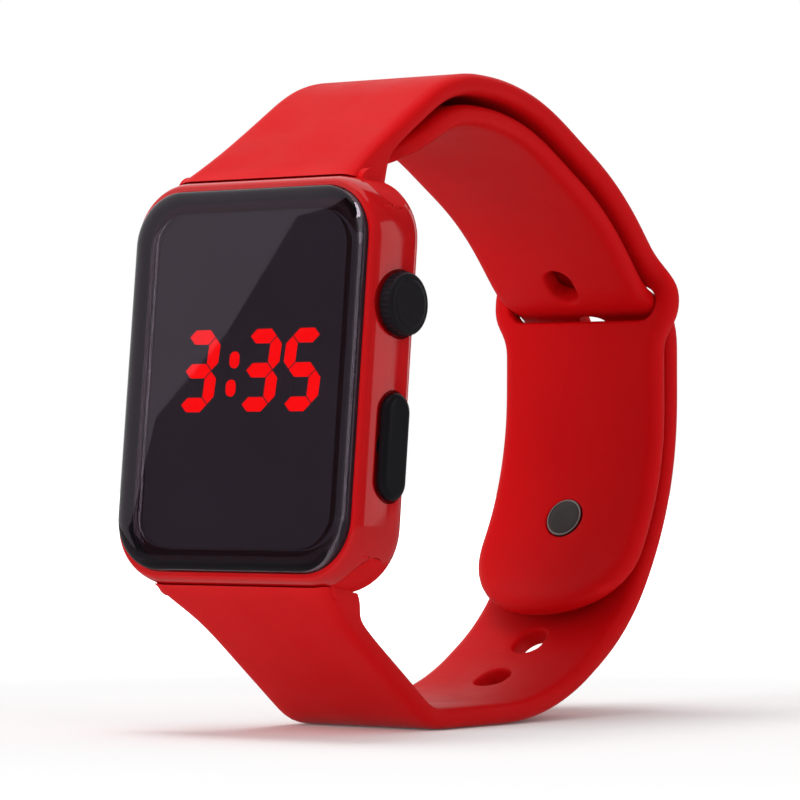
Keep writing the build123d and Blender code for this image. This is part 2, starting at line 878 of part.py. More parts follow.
def strap_blank(corners, radii, width, sign, corner_line):
    """A strap before its outline is cut: the band and its thick end."""
    extrude(band_face(corners, radii), amount=width / 2, both=True)
    with BuildSketch(side) as end_outline:
        Polygon(*lug_outline(sign, corner_line), align=None)
    extrude(end_outline.sketch, amount=width / 2, both=True)
    crease = side.from_local_coords(lug_outline(sign, corner_line)[2])
    fillet(edges().filter_by(Axis.X).sort_by_distance(crease)[0], lug_crease)
    with BuildSketch(side) as case_room:
        with Locations((0, case_front - case_depth / 2)):
            Rectangle(case_length + 2 * bead_gap, case_depth + 2 * lug_front)
    extrude(case_room.sketch, amount=width, both=True, mode=Mode.SUBTRACT)


def strap_bead(sign):
    """The round bead in the case's groove, flush with the case's sides."""
    place = (sign * (end_y - groove_inset), groove_z)
    with BuildPart(mode=Mode.PRIVATE) as bead:
        with BuildSketch(side):
            with Locations(place):
                Circle(bead_radius)
        extrude(amount=case_width / 2, both=True)
        with BuildSketch(level(case_back)):
            RectangleRounded(case_width, case_length, case_corner)
        extrude(amount=case_depth, mode=Mode.INTERSECT)
        with BuildSketch(side):
            with Locations(place):
                Circle(bead_radius)
        extrude(amount=lug_width / 2, both=True)
    add(bead.part)


def s_bend(start, end):
    """A line that leaves and arrives along the strap."""
    middle = (start[1] + end[1]) / 2
    return Bezier(start, (start[0], middle), (end[0], middle), end)


def round_tip(start, end):
    """A quarter of a blunt oval, from a strap's edge to its tip."""
    return Bezier(
        start,
        (start[0], start[1] + (end[1] - start[1]) * tip_bulge_share),
        (start[0] * tip_bulge_share, end[1]),
        end,
    )


# Heights and depths at which the straps' outlines change
crest_y = band_corners[8].X
lug_y = min(lower_exit.Y, upper_exit.Y) - overrun
lower_taper_y = lower_exit.Y + lug_taper
upper_taper_y = upper_exit.Y + lug_taper
slot_middle = (slot_bottom + slot_top) / 2
pin_half = pin_strap_width / 2
hole_half = hole_strap_width / 2

# Outline of the pin strap: from above in front of its crest, from behind beyond
with BuildPart() as pin_outline:
    with BuildSketch(Plane.XY.offset(dial_height)):
        with BuildLine():
            Line((0, lug_y), (lug_width / 2, lug_y))
            s_bend((lug_width / 2, lug_y), (pin_half, upper_taper_y))
            Line((pin_half, upper_taper_y), (pin_half, crest_y))
            Line((pin_half, crest_y), (0, crest_y))
            mirror(about=Plane.YZ)
        make_face()
    extrude(amount=loop_height)
    with BuildSketch(Plane.XZ.offset(-crest_y)):
        with BuildLine():
            Line((0, loop_height), (pin_half, loop_height))
            Line((pin_half, loop_height), (pin_half, slot_top + flare_reach))
            s_bend((pin_half, slot_top + flare_reach), (flare_width / 2, slot_middle))
            s_bend((flare_width / 2, slot_middle), (waist_width / 2, slot_bottom - flare_reach))
            s_bend((waist_width / 2, slot_bottom - flare_reach), (pad_width / 2, pad_height))
            Line(
                (pad_width / 2, pad_height),
                (pad_width / 2, pin_tip_height + pin_tip_reach),
            )
            round_tip((pad_width / 2, pin_tip_height + pin_tip_reach), (0, pin_tip_height))
            mirror(about=Plane.YZ)
        make_face()
    extrude(amount=-loop_depth)

# Outline of the hole strap: from above, below the slot and above it
tongue_tip_y = crest_y - tongue_tip_setback
with BuildPart() as hole_outline:
    with BuildSketch(Plane.XY.offset(-overrun)):
        with BuildLine():
            Line((0, lug_y), (lug_width / 2, lug_y))
            s_bend((lug_width / 2, lug_y), (hole_half, lower_taper_y))
            Line((hole_half, lower_taper_y), (hole_half, loop_depth))
            Line((hole_half, loop_depth), (0, loop_depth))
            mirror(about=Plane.YZ)
        make_face()
    extrude(amount=dial_height + overrun)
    with BuildSketch(Plane.XY.offset(dial_height)):
        with BuildLine():
            Line((0, loop_depth), (hole_half, loop_depth))
            Line((hole_half, loop_depth), (hole_half, tongue_tip_y + tongue_tip_reach))
            round_tip((hole_half, tongue_tip_y + tongue_tip_reach), (0, tongue_tip_y))
            mirror(about=Plane.YZ)
        make_face()
    extrude(amount=loop_height)

# Depths of the two layers under the stud, from the hole strap's middle line
outer_face = strap_thickness / 2
pin_outer_face = -strap_thickness / 2 - pad_gap
pin_inner_face = pin_outer_face - strap_thickness
disc_back = pin_inner_face + disc_thickness - stud_fit

# Pin strap
with BuildPart() as pin_strap:
    strap_blank(pin_corners, pin_radii, lug_width, 1, band_corners[::-1])
    add(pin_outline.part, mode=Mode.INTERSECT)
    fillet(pin_strap.edges().filter_by(Axis.X, reverse=True), strap_edge)
    with BuildSketch(Plane.XZ.offset(-crest_y)):
        with Locations((0, slot_middle)):
            RectangleRounded(slot_width, slot_top - slot_bottom, slot_corner)
    extrude(amount=-loop_depth, mode=Mode.SUBTRACT)
    with BuildSketch(stud_plane):
        Circle(stud_shank_radius + stud_fit)
    extrude(amount=pin_inner_face - overrun, mode=Mode.SUBTRACT)
    with BuildSketch(stud_plane.offset(disc_back + stud_fit)):
        Circle(disc_radius + stud_fit)
    extrude(amount=-disc_thickness - overrun, mode=Mode.SUBTRACT)
    strap_bead(1)

# Hole strap
with BuildPart() as hole_strap:
    strap_blank(hole_corners, hole_radii, lug_width, -1, band_corners)
    add(hole_outline.part, mode=Mode.INTERSECT)
    fillet(hole_strap.edges().filter_by(Axis.X, reverse=True), strap_edge)
    for step in range(-holes_before, holes_after + 1):
        with BuildSketch(run_plane(hole_run, stud_reach + step * hole_pitch)):
            SlotOverall(hole_length, hole_width, rotation=90)
        extrude(amount=strap_thickness, both=True, mode=Mode.SUBTRACT)
    strap_bead(-1)

# Stud that closes the band, with its head outside the hole strap
with BuildPart() as closure_stud:
    with BuildSketch(stud_plane.offset(outer_face + stud_fit)):
        Circle(stud_head_radius)
    extrude(amount=stud_head_height)
    fillet(closure_stud.faces().sort_by(Axis(stud_plane.origin, stud_plane.z_dir))[-1].edges(),
           stud_head_edge)
    with BuildSketch(stud_plane.offset(pin_outer_face + stud_fit)):
        Circle(stud_neck_radius)
    extrude(amount=outer_face - pin_outer_face)
    with BuildSketch(stud_plane.offset(disc_back)):
        Circle(stud_shank_radius)
    extrude(amount=pin_outer_face - disc_back + stud_fit)
    with BuildSketch(stud_plane.offset(disc_back - disc_socket + stud_fit)):
        Circle(stud_tip_radius)
    extrude(amount=disc_socket)

# Disc riveted on the stud inside the band
with BuildPart() as stud_disc:
    with BuildSketch(stud_plane.offset(disc_back - disc_thickness)):
        Circle(disc_radius)
    extrude(amount=disc_thickness)
    fillet(stud_disc.faces().sort_by(Axis(stud_plane.origin, stud_plane.z_dir))[0].edges(),
           disc_edge)
    with BuildSketch(stud_plane.offset(disc_back)):
        Circle(stud_tip_radius + stud_fit)
    extrude(amount=-disc_socket, mode=Mode.SUBTRACT)

named_parts = {
    "case_body": case_body,
    "front_lens": front_lens,
    "lens_adhesive": lens_adhesive,
    "segment_mask": segment_mask,
    "lit_segments": lit_segments,
    "dark_segments": dark_segments,
    "circuit_board": circuit_board,
    "led_chips": led_chips,
    "driver_chip": driver_chip,
    "quartz_crystal": quartz_crystal,
    "crown_switch": crown_switch,
    "button_switch": button_switch,
    "battery_holder": battery_holder,
    "coin_battery": coin_battery,
    "negative_contact": negative_contact,
    "battery_strip": battery_strip,
    "back_cover": back_cover,
    "back_gasket": back_gasket,
    "back_screws": back_screws,
    "crown": crown,
    "crown_stem": crown_stem,
    "crown_seal": crown_seal,
    "crown_clip": crown_clip,
    "crown_spring": crown_spring,
    "side_button": side_button,
    "button_seal": button_seal,
    "button_clip": button_clip,
    "button_springs": button_springs,
    "pin_strap": pin_strap,
    "hole_strap": hole_strap,
    "closure_stud": closure_stud,
    "stud_disc": stud_disc,
}

os.makedirs("parts", exist_ok=True)
for name, piece in named_parts.items():
    piece.part.label = name
    export_step(piece.part, f"parts/{name}.step")
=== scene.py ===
"""Digital LED watch on a closed silicone band, dressed for its picture.

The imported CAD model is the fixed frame. Sizes here are in millimetres and become metres when a
mesh is made. +Z is up, -Y is the side that the display faces and +X is the side with the crown.
"""
import logging
import math
from dataclasses import dataclass, field
from enum import Enum
from functools import cached_property
from typing import Iterable, Optional, Sequence

import bmesh
import bpy
import numpy as np
from mathutils import Matrix, Vector
from mathutils.geometry import delaunay_2d_cdt


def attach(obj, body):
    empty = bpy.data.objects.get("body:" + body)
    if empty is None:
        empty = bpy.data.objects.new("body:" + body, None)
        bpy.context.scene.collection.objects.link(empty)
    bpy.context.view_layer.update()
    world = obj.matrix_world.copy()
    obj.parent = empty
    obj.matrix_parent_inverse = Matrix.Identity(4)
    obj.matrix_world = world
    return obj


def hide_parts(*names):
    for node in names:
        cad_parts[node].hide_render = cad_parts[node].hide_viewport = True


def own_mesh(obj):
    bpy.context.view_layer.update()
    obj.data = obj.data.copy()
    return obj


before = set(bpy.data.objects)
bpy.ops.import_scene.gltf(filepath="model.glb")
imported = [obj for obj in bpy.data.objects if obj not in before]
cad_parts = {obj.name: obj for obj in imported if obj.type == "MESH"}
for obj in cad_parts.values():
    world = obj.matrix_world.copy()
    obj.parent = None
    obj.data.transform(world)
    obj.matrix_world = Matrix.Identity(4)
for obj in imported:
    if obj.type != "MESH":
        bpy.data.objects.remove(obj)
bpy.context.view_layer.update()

METRES = 0.001
WELD_MM = 1e-5
LOG = logging.getLogger("watch")

Colour = tuple[float, float, float]
Point2 = tuple[float, float]
Face = tuple[int, ...]


class Body(Enum):
    """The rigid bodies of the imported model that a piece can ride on."""

    WATCH = "watch"
    CROWN_WHEEL = "crown_wheel"
    BUTTON_SLIDER = "button_slider"


class Texture(Enum):
    """How the fine surface of a finish runs: its stretch along X, Y and Z."""

    EVEN = (1.0, 1.0, 1.0)
    TURNED = (9.0, 1.0, 1.0)
    DRAWN = (1.0, 0.12, 1.0)


class Sense(Enum):
    """Which way a strap's middle line runs round the wrist."""

    FROM_BELOW = 1
    FROM_ABOVE = -1


def feed(tree: bpy.types.NodeTree, node: bpy.types.Node, values: dict[object, object]) -> None:
    """Links or sets a node's inputs.

    Args:
        tree: The node tree.
        node: The node.
        values: What each input gets, by its name or number. An output of another node is
            linked to it, and anything else is set.
    """
    for key, value in values.items():
        if isinstance(value, bpy.types.NodeSocket):
            tree.links.new(value, node.inputs[key])
        else:
            node.inputs[key].default_value = value


def reckon(tree: bpy.types.NodeTree, operation: str, *values: object,
           kind: str = "ShaderNodeMath") -> bpy.types.Node:
    """Adds a math node.

    Args:
        tree: The node tree.
        operation: What it works out.
        values: Its inputs in order, as outputs to link or as numbers.
        kind: The node's type.

    Returns:
        The node.
    """
    node = tree.nodes.new(kind)
    node.operation = operation
    feed(tree, node, dict(enumerate(values)))
    return node


class EffectLibrary:
    """Shader node groups that several finishes share, each built once."""

    NOISE_ROUGHNESS = 0.6
    COARSE_CELLS = 0.12
    MARK_RANGE = (0.38, 0.64)
    DRIFT_RANGE = (0.35, 0.65)
    EDGE_RANGE = (0.5, 0.62)

    @staticmethod
    def _start(name: str, result: tuple[str, str], **asked: str,
               ) -> tuple[bpy.types.ShaderNodeTree, bpy.types.Node, bpy.types.Node]:
        """Makes an empty group with its sockets.

        Args:
            name: What the group is called.
            result: Name and kind of what it puts out.
            asked: The kind of each input, by name with underscores for spaces.

        Returns:
            The node tree, its input node and its output node.
        """
        tree = bpy.data.node_groups.new(name, "ShaderNodeTree")
        for key, kind in asked.items():
            tree.interface.new_socket(key.replace("_", " "), in_out="INPUT",
                                      socket_type=f"NodeSocket{kind}")
        tree.interface.new_socket(result[0], in_out="OUTPUT",
                                  socket_type=f"NodeSocket{result[1]}")
        return tree, tree.nodes.new("NodeGroupInput"), tree.nodes.new("NodeGroupOutput")

    def _noise(self, tree: bpy.types.ShaderNodeTree, vector: bpy.types.NodeSocket,
               scale: bpy.types.NodeSocket, detail: float) -> bpy.types.NodeSocket:
        """Adds a noise texture to a group.

        Args:
            tree: The group.
            vector: Socket with the coordinates.
            scale: Socket with the number of cells per metre.
            detail: Octaves of the noise.

        Returns:
            The noise's value, about 0.5 on average.
        """
        noise = tree.nodes.new("ShaderNodeTexNoise")
        feed(tree, noise, {"Vector": vector, "Scale": scale, "Detail": detail,
                           "Roughness": self.NOISE_ROUGHNESS})
        return noise.outputs["Fac"]

    @staticmethod
    def _spread(tree: bpy.types.ShaderNodeTree, value: bpy.types.NodeSocket,
                low: float, high: float) -> bpy.types.NodeSocket:
        """Stretches the middle of a noise to the whole range from 0 to 1.

        Args:
            tree: The group.
            value: Socket to stretch.
            low: Value that becomes 0.
            high: Value that becomes 1.

        Returns:
            The stretched value.
        """
        node = tree.nodes.new("ShaderNodeMapRange")
        feed(tree, node, {"Value": value, "From Min": low, "From Max": high})
        return node.outputs["Result"]

    @cached_property
    def grain(self) -> bpy.types.ShaderNodeTree:
        """Builds the fine relief of a surface.

        Returns:
            A group with Cells, Stretch and Coarse Share that puts out Height.
        """
        tree, given, put = self._start("fine grain", ("Height", "Float"), Cells="Float",
                                       Stretch="Vector", Coarse_Share="Float")
        place = tree.nodes.new("ShaderNodeTexCoord")
        stretched = reckon(tree, "MULTIPLY", place.outputs["Object"],
                           given.outputs["Stretch"], kind="ShaderNodeVectorMath").outputs[0]
        coarse_cells = reckon(tree, "MULTIPLY", given.outputs["Cells"],
                              self.COARSE_CELLS).outputs[0]
        fine = self._noise(tree, stretched, given.outputs["Cells"], 2.0)
        coarse = self._noise(tree, stretched, coarse_cells, 1.0)
        blend = tree.nodes.new("ShaderNodeMix")
        feed(tree, blend, {"Factor": given.outputs["Coarse Share"], "A": fine, "B": coarse})
        tree.links.new(blend.outputs["Result"], put.inputs["Height"])
        return tree

    @cached_property
    def handling(self) -> bpy.types.ShaderNodeTree:
        """Builds the patches that fingers and cloths leave in a gloss.

        Returns:
            A group with Roughness, Spread and Patches that puts out Roughness.
        """
        tree, given, put = self._start("handling marks", ("Roughness", "Float"),
                                       Roughness="Float", Spread="Float", Patches="Float")
        place = tree.nodes.new("ShaderNodeTexCoord")
        noise = self._noise(tree, place.outputs["Object"], given.outputs["Patches"], 4.0)
        rough = reckon(tree, "MULTIPLY_ADD", self._spread(tree, noise, *self.MARK_RANGE),
                       given.outputs["Spread"], given.outputs["Roughness"])
        tree.links.new(rough.outputs[0], put.inputs["Roughness"])
        return tree

    @cached_property
    def drift(self) -> bpy.types.ShaderNodeTree:
        """Builds the slow change of a moulded or dyed colour, darker in patches.

        Returns:
            A group with Colour, Drift and Patches that puts out Colour.
        """
        tree, given, put = self._start("colour drift", ("Colour", "Color"), Colour="Color",
                                       Drift="Float", Patches="Float")
        place = tree.nodes.new("ShaderNodeTexCoord")
        noise = self._noise(tree, place.outputs["Object"], given.outputs["Patches"], 3.0)
        amount = reckon(tree, "MULTIPLY_ADD", self._spread(tree, noise, *self.DRIFT_RANGE),
                        given.outputs["Drift"], 1.0)
        scale = reckon(tree, "SCALE", given.outputs["Colour"], kind="ShaderNodeVectorMath")
        feed(tree, scale, {"Scale": amount.outputs[0]})
        tree.links.new(scale.outputs[0], put.inputs["Colour"])
        return tree

    @cached_property
    def worn_and_lit_edge(self) -> bpy.types.ShaderNodeTree:
        """Builds the edge colour on convex edges, from the pointiness: wear on some finishes, a
        painted highlight on others.

        Returns:
            A group with Colour, Edge Colour and Amount that puts out Colour.
        """
        tree, given, put = self._start("worn and lit edge", ("Colour", "Color"), Colour="Color",
                                       Edge_Colour="Color", Amount="Float")
        shape = tree.nodes.new("ShaderNodeNewGeometry")
        edge = self._spread(tree, shape.outputs["Pointiness"], *self.EDGE_RANGE)
        share = reckon(tree, "MULTIPLY", edge, given.outputs["Amount"])
        mix = tree.nodes.new("ShaderNodeMix")
        mix.data_type = "RGBA"
        feed(tree, mix, {0: share.outputs[0], 6: given.outputs["Colour"],
                         7: given.outputs["Edge Colour"]})
        tree.links.new(mix.outputs[2], put.inputs["Colour"])
        return tree


EFFECTS = EffectLibrary()


@dataclass(frozen=True)
class Finish:
    """A moulded, cast, plated or printed surface.

    The grain is a fine relief, handling marks change the gloss in patches, the colour drifts
    a little, and convex edges take their own colour: rubbed wear on the metal and black parts,
    and a painted highlight on the silicone and the gloss case.
    """

    name: str
    colour: Colour
    roughness: float
    metallic: float = 0.0
    specular: float = 0.5
    coat: float = 0.0
    coat_roughness: float = 0.05
    subsurface: float = 0.0
    subsurface_depth: float = 0.8
    subsurface_reach: Colour = (1.0, 0.2, 0.1)
    texture: Texture = Texture.EVEN
    grain_cells: float = 4000.0
    grain_depth: float = 0.004
    coarse_share: float = 0.3
    mark_spread: float = 0.08
    mark_patches: float = 160.0
    drift: float = -0.12
    drift_patches: float = 90.0
    edge_colour: Optional[Colour] = None
    edge_amount: float = 0.5

    def material(self) -> bpy.types.Material:
        """Gives the finish's material, made the first time it is asked for.

        Returns:
            The material.
        """
        found = bpy.data.materials.get(self.name)
        if found is not None:
            return found
        made = bpy.data.materials.new(self.name)
        made.use_nodes = True
        tree = made.node_tree
        colour = self._group(tree, EFFECTS.drift, {
            "Colour": (*self.colour, 1.0), "Drift": self.drift, "Patches": self.drift_patches})
        # Convex edges take the edge colour: rubbed wear on some finishes, a painted highlight on
        # others.
        if self.edge_colour is not None:
            colour = self._group(tree, EFFECTS.worn_and_lit_edge, {
                "Colour": colour, "Edge Colour": (*self.edge_colour, 1.0),
                "Amount": self.edge_amount})
        marks = self._group(tree, EFFECTS.handling, {
            "Roughness": self.roughness, "Spread": self.mark_spread,
            "Patches": self.mark_patches})
        grain = self._group(tree, EFFECTS.grain, {
            "Cells": self.grain_cells, "Stretch": self.texture.value,
            "Coarse Share": self.coarse_share})
        bump = tree.nodes.new("ShaderNodeBump")
        feed(tree, bump, {"Distance": self.grain_depth * METRES, "Height": grain})
        feed(tree, tree.nodes["Principled BSDF"], {
            "Base Color": colour, "Roughness": marks, "Metallic": self.metallic,
            "Specular IOR Level": self.specular, "Coat Weight": self.coat,
            "Coat Roughness": self.coat_roughness, "Subsurface Weight": self.subsurface,
            "Subsurface Radius": self.subsurface_reach,
            "Subsurface Scale": self.subsurface_depth * METRES,
            "Normal": bump.outputs["Normal"], **self._extras(tree)})
        return made

    def _extras(self, tree: bpy.types.ShaderNodeTree) -> dict[str, object]:
        """Gives the shader's inputs that only some finishes set."""
        return {}

    @staticmethod
    def _group(tree: bpy.types.ShaderNodeTree, group: bpy.types.ShaderNodeTree,
               values: dict[str, object]) -> bpy.types.NodeSocket:
        """Places a shared effect in a material.

        Args:
            tree: The material's node tree.
            group: The effect.
            values: The effect's inputs by name.

        Returns:
            What the effect puts out.
        """
        node = tree.nodes.new("ShaderNodeGroup")
        node.node_tree = group
        feed(tree, node, values)
        return node.outputs[0]


@dataclass(frozen=True)
class GlassFinish(Finish):
    """Tinted clear plastic that reflects at its face and blurs what lies behind a little."""

    ior: float = 1.49
    reflection: Colour = (1.0, 1.0, 1.0)

    def _extras(self, tree: bpy.types.ShaderNodeTree) -> dict[str, object]:
        """Gives the shader's inputs that make the surface clear."""
        return {"Transmission Weight": 1.0, "IOR": self.ior,
                "Specular Tint": (*self.reflection, 1.0)}


@dataclass(frozen=True)
class LampAndPaintedGlowFinish(Finish):
    """A surface that glows, a little weaker in patches: the lit light guides as lamps, the mask
    and the unlit guides as painted glow.
    """

    glow: Colour = (1.0, 0.0, 0.0)
    strength: float = 1.0

    def _extras(self, tree: bpy.types.ShaderNodeTree) -> dict[str, object]:
        """Gives the shader's inputs that make the surface glow."""
        drift = self._group(tree, EFFECTS.drift, {
            "Colour": (*self.glow, 1.0), "Drift": self.drift, "Patches": self.drift_patches})
        return {"Emission Color": drift, "Emission Strength": self.strength}


# The lighter edge colour paints a highlight on the strap's rounded edges.
SILICONE = Finish(
    "red silicone", (0.60, 0.002, 0.004), 0.46, specular=0.08, subsurface=0.10,
    grain_cells=5200.0, grain_depth=0.005, coarse_share=0.35, mark_spread=0.07, drift=-0.04,
    edge_colour=(0.72, 0.006, 0.009))
# The lighter edge colour paints a highlight on the case's rounded edges.
CASE_GLOSS = Finish(
    "red gloss case", (0.52, 0.003, 0.005), 0.08, grain_cells=900.0, grain_depth=0.0012,
    coarse_share=0.6, mark_spread=0.05, drift=-0.05, edge_colour=(0.60, 0.010, 0.012))
LENS_TINT = GlassFinish(
    "tinted lens", (0.10, 0.085, 0.10), 0.012, grain_cells=500.0, grain_depth=0.00005,
    mark_spread=0.01, drift=-0.04, reflection=(0.70, 0.58, 0.72))
LIT_GUIDE = LampAndPaintedGlowFinish(
    "lit light guide", (0.30, 0.01, 0.008), 0.45, strength=10.5, drift=-0.06,
    drift_patches=500.0)
# The unlit guides are no lamps: their faint purple glow is painted light.
DARK_GUIDE_PAINTED_GLOW = LampAndPaintedGlowFinish(
    "dark light guide with painted glow", (0.014, 0.010, 0.011), 0.5, glow=(1.0, 0.8, 1.0), strength=0.175)
# The mask is no lamp: its faint purple glow is painted light.
MASK_BLACK_PAINTED_GLOW = LampAndPaintedGlowFinish(
    "black display mask with painted glow", (0.012, 0.011, 0.012), 0.6, glow=(1.0, 0.8, 1.0), strength=0.18,
    grain_depth=0.006)
ADHESIVE = Finish("black adhesive", (0.02, 0.02, 0.02), 0.7)
CROWN_BLACK = Finish(
    "black crown", (0.010, 0.008, 0.011), 0.38, specular=0.16, grain_depth=0.004,
    mark_spread=0.06, edge_colour=(0.018, 0.017, 0.020), edge_amount=0.3)
BUTTON_BLACK = Finish(
    "black button", (0.006, 0.005, 0.007), 0.32, specular=0.16, grain_depth=0.004,
    mark_spread=0.06, edge_colour=(0.016, 0.015, 0.018), edge_amount=0.3)
COVER_BLACK = Finish(
    "moulded back cover", (0.020, 0.020, 0.022), 0.42, grain_cells=3800.0, grain_depth=0.016,
    edge_colour=(0.06, 0.06, 0.065))
SCREW_STEEL = Finish(
    "screw steel", (0.52, 0.51, 0.50), 0.30, metallic=1.0, texture=Texture.TURNED,
    grain_depth=0.004, edge_colour=(0.72, 0.71, 0.70))
STUD_STEEL = Finish(
    "stud steel", (0.46, 0.45, 0.44), 0.26, metallic=1.0, grain_depth=0.003,
    mark_spread=0.14, edge_colour=(0.62, 0.61, 0.60))
RIM_STEEL = Finish(
    "dull rim steel", (0.20, 0.19, 0.185), 0.36, metallic=1.0, grain_depth=0.003)
STUD_DARK = Finish(
    "dark stud disc", (0.020, 0.014, 0.012), 0.40, specular=0.4, grain_depth=0.006,
    mark_spread=0.12)
SPRING_STEEL = Finish(
    "spring wire", (0.56, 0.55, 0.53), 0.24, metallic=1.0, texture=Texture.DRAWN,
    grain_depth=0.002)
SEAL_RUBBER = Finish("black rubber", (0.022, 0.022, 0.023), 0.62, grain_depth=0.006)
BOARD_GREEN = Finish(
    "board lacquer", (0.012, 0.11, 0.045), 0.34, coat=0.5, grain_cells=1500.0,
    grain_depth=0.010, drift=-0.35, drift_patches=700.0)
LED_RESIN = Finish("lamp resin", (0.62, 0.58, 0.50), 0.36, subsurface=0.2)
CHIP_RESIN = Finish("chip resin", (0.030, 0.030, 0.032), 0.55, grain_depth=0.010)
CAN_STEEL = Finish("crystal can", (0.60, 0.60, 0.61), 0.22, metallic=1.0,
                   texture=Texture.DRAWN)
SWITCH_RESIN = Finish("switch resin", (0.05, 0.05, 0.052), 0.5, grain_depth=0.008)
HOLDER_GREY = Finish(
    "holder plastic", (0.10, 0.10, 0.105), 0.5, grain_cells=3000.0, grain_depth=0.014)
CELL_METAL = Finish(
    "cell metal", (0.66, 0.66, 0.67), 0.28, metallic=1.0, texture=Texture.DRAWN,
    grain_depth=0.003)
CONTACT_GOLD = Finish(
    "contact spring metal", (0.72, 0.60, 0.38), 0.26, metallic=1.0, texture=Texture.DRAWN)


@dataclass(frozen=True)
class DialFrame:
    """The dial's own axes: X to the crown, Y to twelve o'clock, Z out of the display."""

    origin: tuple[float, float, float] = (0.0, -28.495, 38.1)
    lean_deg: float = 5.9

    def axes(self) -> Matrix:
        """Gives the turn from the dial's axes to the row frame's."""
        lean = math.radians(self.lean_deg)
        return Matrix((
            (1.0, 0.0, 0.0),
            (0.0, math.sin(lean), -math.cos(lean)),
            (0.0, math.cos(lean), math.sin(lean))))

    def matrix(self) -> Matrix:
        """Gives the place of the dial's frame, in millimetres."""
        return Matrix.Translation(self.origin) @ self.axes().to_4x4()

    def side(self, y: float, z: float) -> Matrix:
        """Gives a frame that looks out of the crown side.

        Args:
            y: Height on the dial of its origin.
            z: Depth of its origin.

        Returns:
            A matrix whose local X is the dial's Y, local Y its Z, and local Z is +X.
        """
        turn = Matrix(((0.0, 0.0, 1.0), (1.0, 0.0, 0.0), (0.0, 1.0, 0.0))).to_4x4()
        return self.matrix() @ Matrix.Translation((0.0, y, z)) @ turn

    def across(self, y: float, z: float) -> tuple[float, float]:
        """Gives a point of the dial's frame in the row frame's YZ plane."""
        point = self.matrix() @ Vector((0.0, y, z))
        return point.y, point.z


def quarter(steps: int) -> list[Point2]:
    """Gives the sine and the cosine at even steps of a quarter turn."""
    return [(math.sin(a), math.cos(a))
            for a in (math.radians(90 * i / steps) for i in range(steps + 1))]


def circle(radius: float, steps: int, x: float = 0.0, y: float = 0.0) -> list[Point2]:
    """Gives the points of a circle about a centre, anticlockwise."""
    return [(x + radius * math.cos(a), y + radius * math.sin(a))
            for a in (2 * math.pi * i / steps for i in range(steps))]


def add_object(name: str, data: bpy.types.ID) -> bpy.types.Object:
    """Puts an object with its data in the scene."""
    made = bpy.data.objects.new(name, data)
    bpy.context.scene.collection.objects.link(made)
    return made


@dataclass
class Shape:
    """Points and faces gathered in millimetres before they become one mesh."""

    points: list[tuple[float, float, float]] = field(default_factory=list)
    faces: list[Face] = field(default_factory=list)

    def add(self, points: Iterable[Sequence[float]], faces: Iterable[Sequence[int]]) -> None:
        """Adds a patch.

        Args:
            points: The patch's points.
            faces: Its faces, numbered from its own first point.
        """
        first = len(self.points)
        self.points.extend(tuple(float(c) for c in p) for p in points)
        self.faces.extend(tuple(first + i for i in f) for f in faces)

    def loft(self, rings: Sequence[Sequence[Sequence[float]]], start: bool = True,
             end: bool = True) -> None:
        """Adds a skin through closed rings of equal counts.

        Args:
            rings: The rings, in order.
            start: Whether the first ring is closed by a face.
            end: Whether the last ring is closed by a face.
        """
        count = len(rings[0])
        faces: list[Face] = []
        for row in range(len(rings) - 1):
            for i in range(count):
                j = (i + 1) % count
                faces.append((row * count + i, row * count + j,
                              (row + 1) * count + j, (row + 1) * count + i))
        if start:
            faces.append(tuple(range(count))[::-1])
        if end:
            faces.append(tuple((len(rings) - 1) * count + i for i in range(count)))
        self.add([p for ring in rings for p in ring], faces)

    def turn(self, profile: Sequence[Point2], steps: int) -> None:
        """Adds a turned skin about local Z.

        Args:
            profile: Pairs of radius and height, from one pole or rim to the other.
            steps: Divisions round the axis.
        """
        self.loft([[(x, y, z) for x, y in circle(r, steps)] for r, z in profile],
                  start=False, end=False)

    def piece(self, name: str, place: Matrix, finish: Finish, sharp_deg: float = 32.0,
              ) -> bpy.types.Object:
        """Makes the mesh object with its place in its mesh.

        Args:
            name: The piece's name.
            place: From the shape's millimetres to the row frame's.
            finish: What covers it.
            sharp_deg: Angle above which an edge stays sharp.

        Returns:
            The object, at the origin.
        """
        mesh = bpy.data.meshes.new(name)
        mesh.from_pydata(self.points, [], self.faces)
        weld(mesh, place)
        mesh.materials.append(finish.material())
        made = add_object(name, mesh)
        smooth(made, sharp_deg)
        return made


def weld(mesh: bpy.types.Mesh, place: Matrix) -> None:
    """Joins a mesh's doubled points, turns its faces outwards and moves it to its place.

    Args:
        mesh: The mesh, in its own millimetres.
        place: From there to the row frame's millimetres.
    """
    work = bmesh.new()
    work.from_mesh(mesh)
    bmesh.ops.remove_doubles(work, verts=work.verts, dist=WELD_MM)
    bmesh.ops.dissolve_degenerate(work, edges=work.edges, dist=WELD_MM / 10)
    bmesh.ops.recalc_face_normals(work, faces=work.faces)
    work.transform(Matrix.Diagonal((METRES, METRES, METRES, 1.0)) @ place)
    work.to_mesh(mesh)
    work.free()


def smooth(piece: bpy.types.Object, sharp_deg: float) -> None:
    """Shades a piece smooth up to an angle."""
    piece.data.shade_smooth()
    piece.data.set_sharp_from_angle(angle=math.radians(sharp_deg))


def settle(piece: bpy.types.Object) -> None:
    """Turns a piece's modifiers into its plain mesh."""
    graph = bpy.context.evaluated_depsgraph_get()
    made = bpy.data.meshes.new_from_object(
        piece.evaluated_get(graph), preserve_all_data_layers=True, depsgraph=graph)
    made.name = piece.name
    old = piece.data
    piece.modifiers.clear()
    piece.data = made
    bpy.data.meshes.remove(old)


def carve(piece: bpy.types.Object, cutters: Sequence[bpy.types.Object]) -> None:
    """Cuts shapes out of a piece and removes them.

    Args:
        piece: What is cut.
        cutters: Closed shapes.
    """
    for cutter in cutters:
        cut = piece.modifiers.new("cut", "BOOLEAN")
        cut.operation = "DIFFERENCE"
        cut.solver = "EXACT"
        cut.object = cutter
        settle(piece)
        bpy.data.objects.remove(cutter)


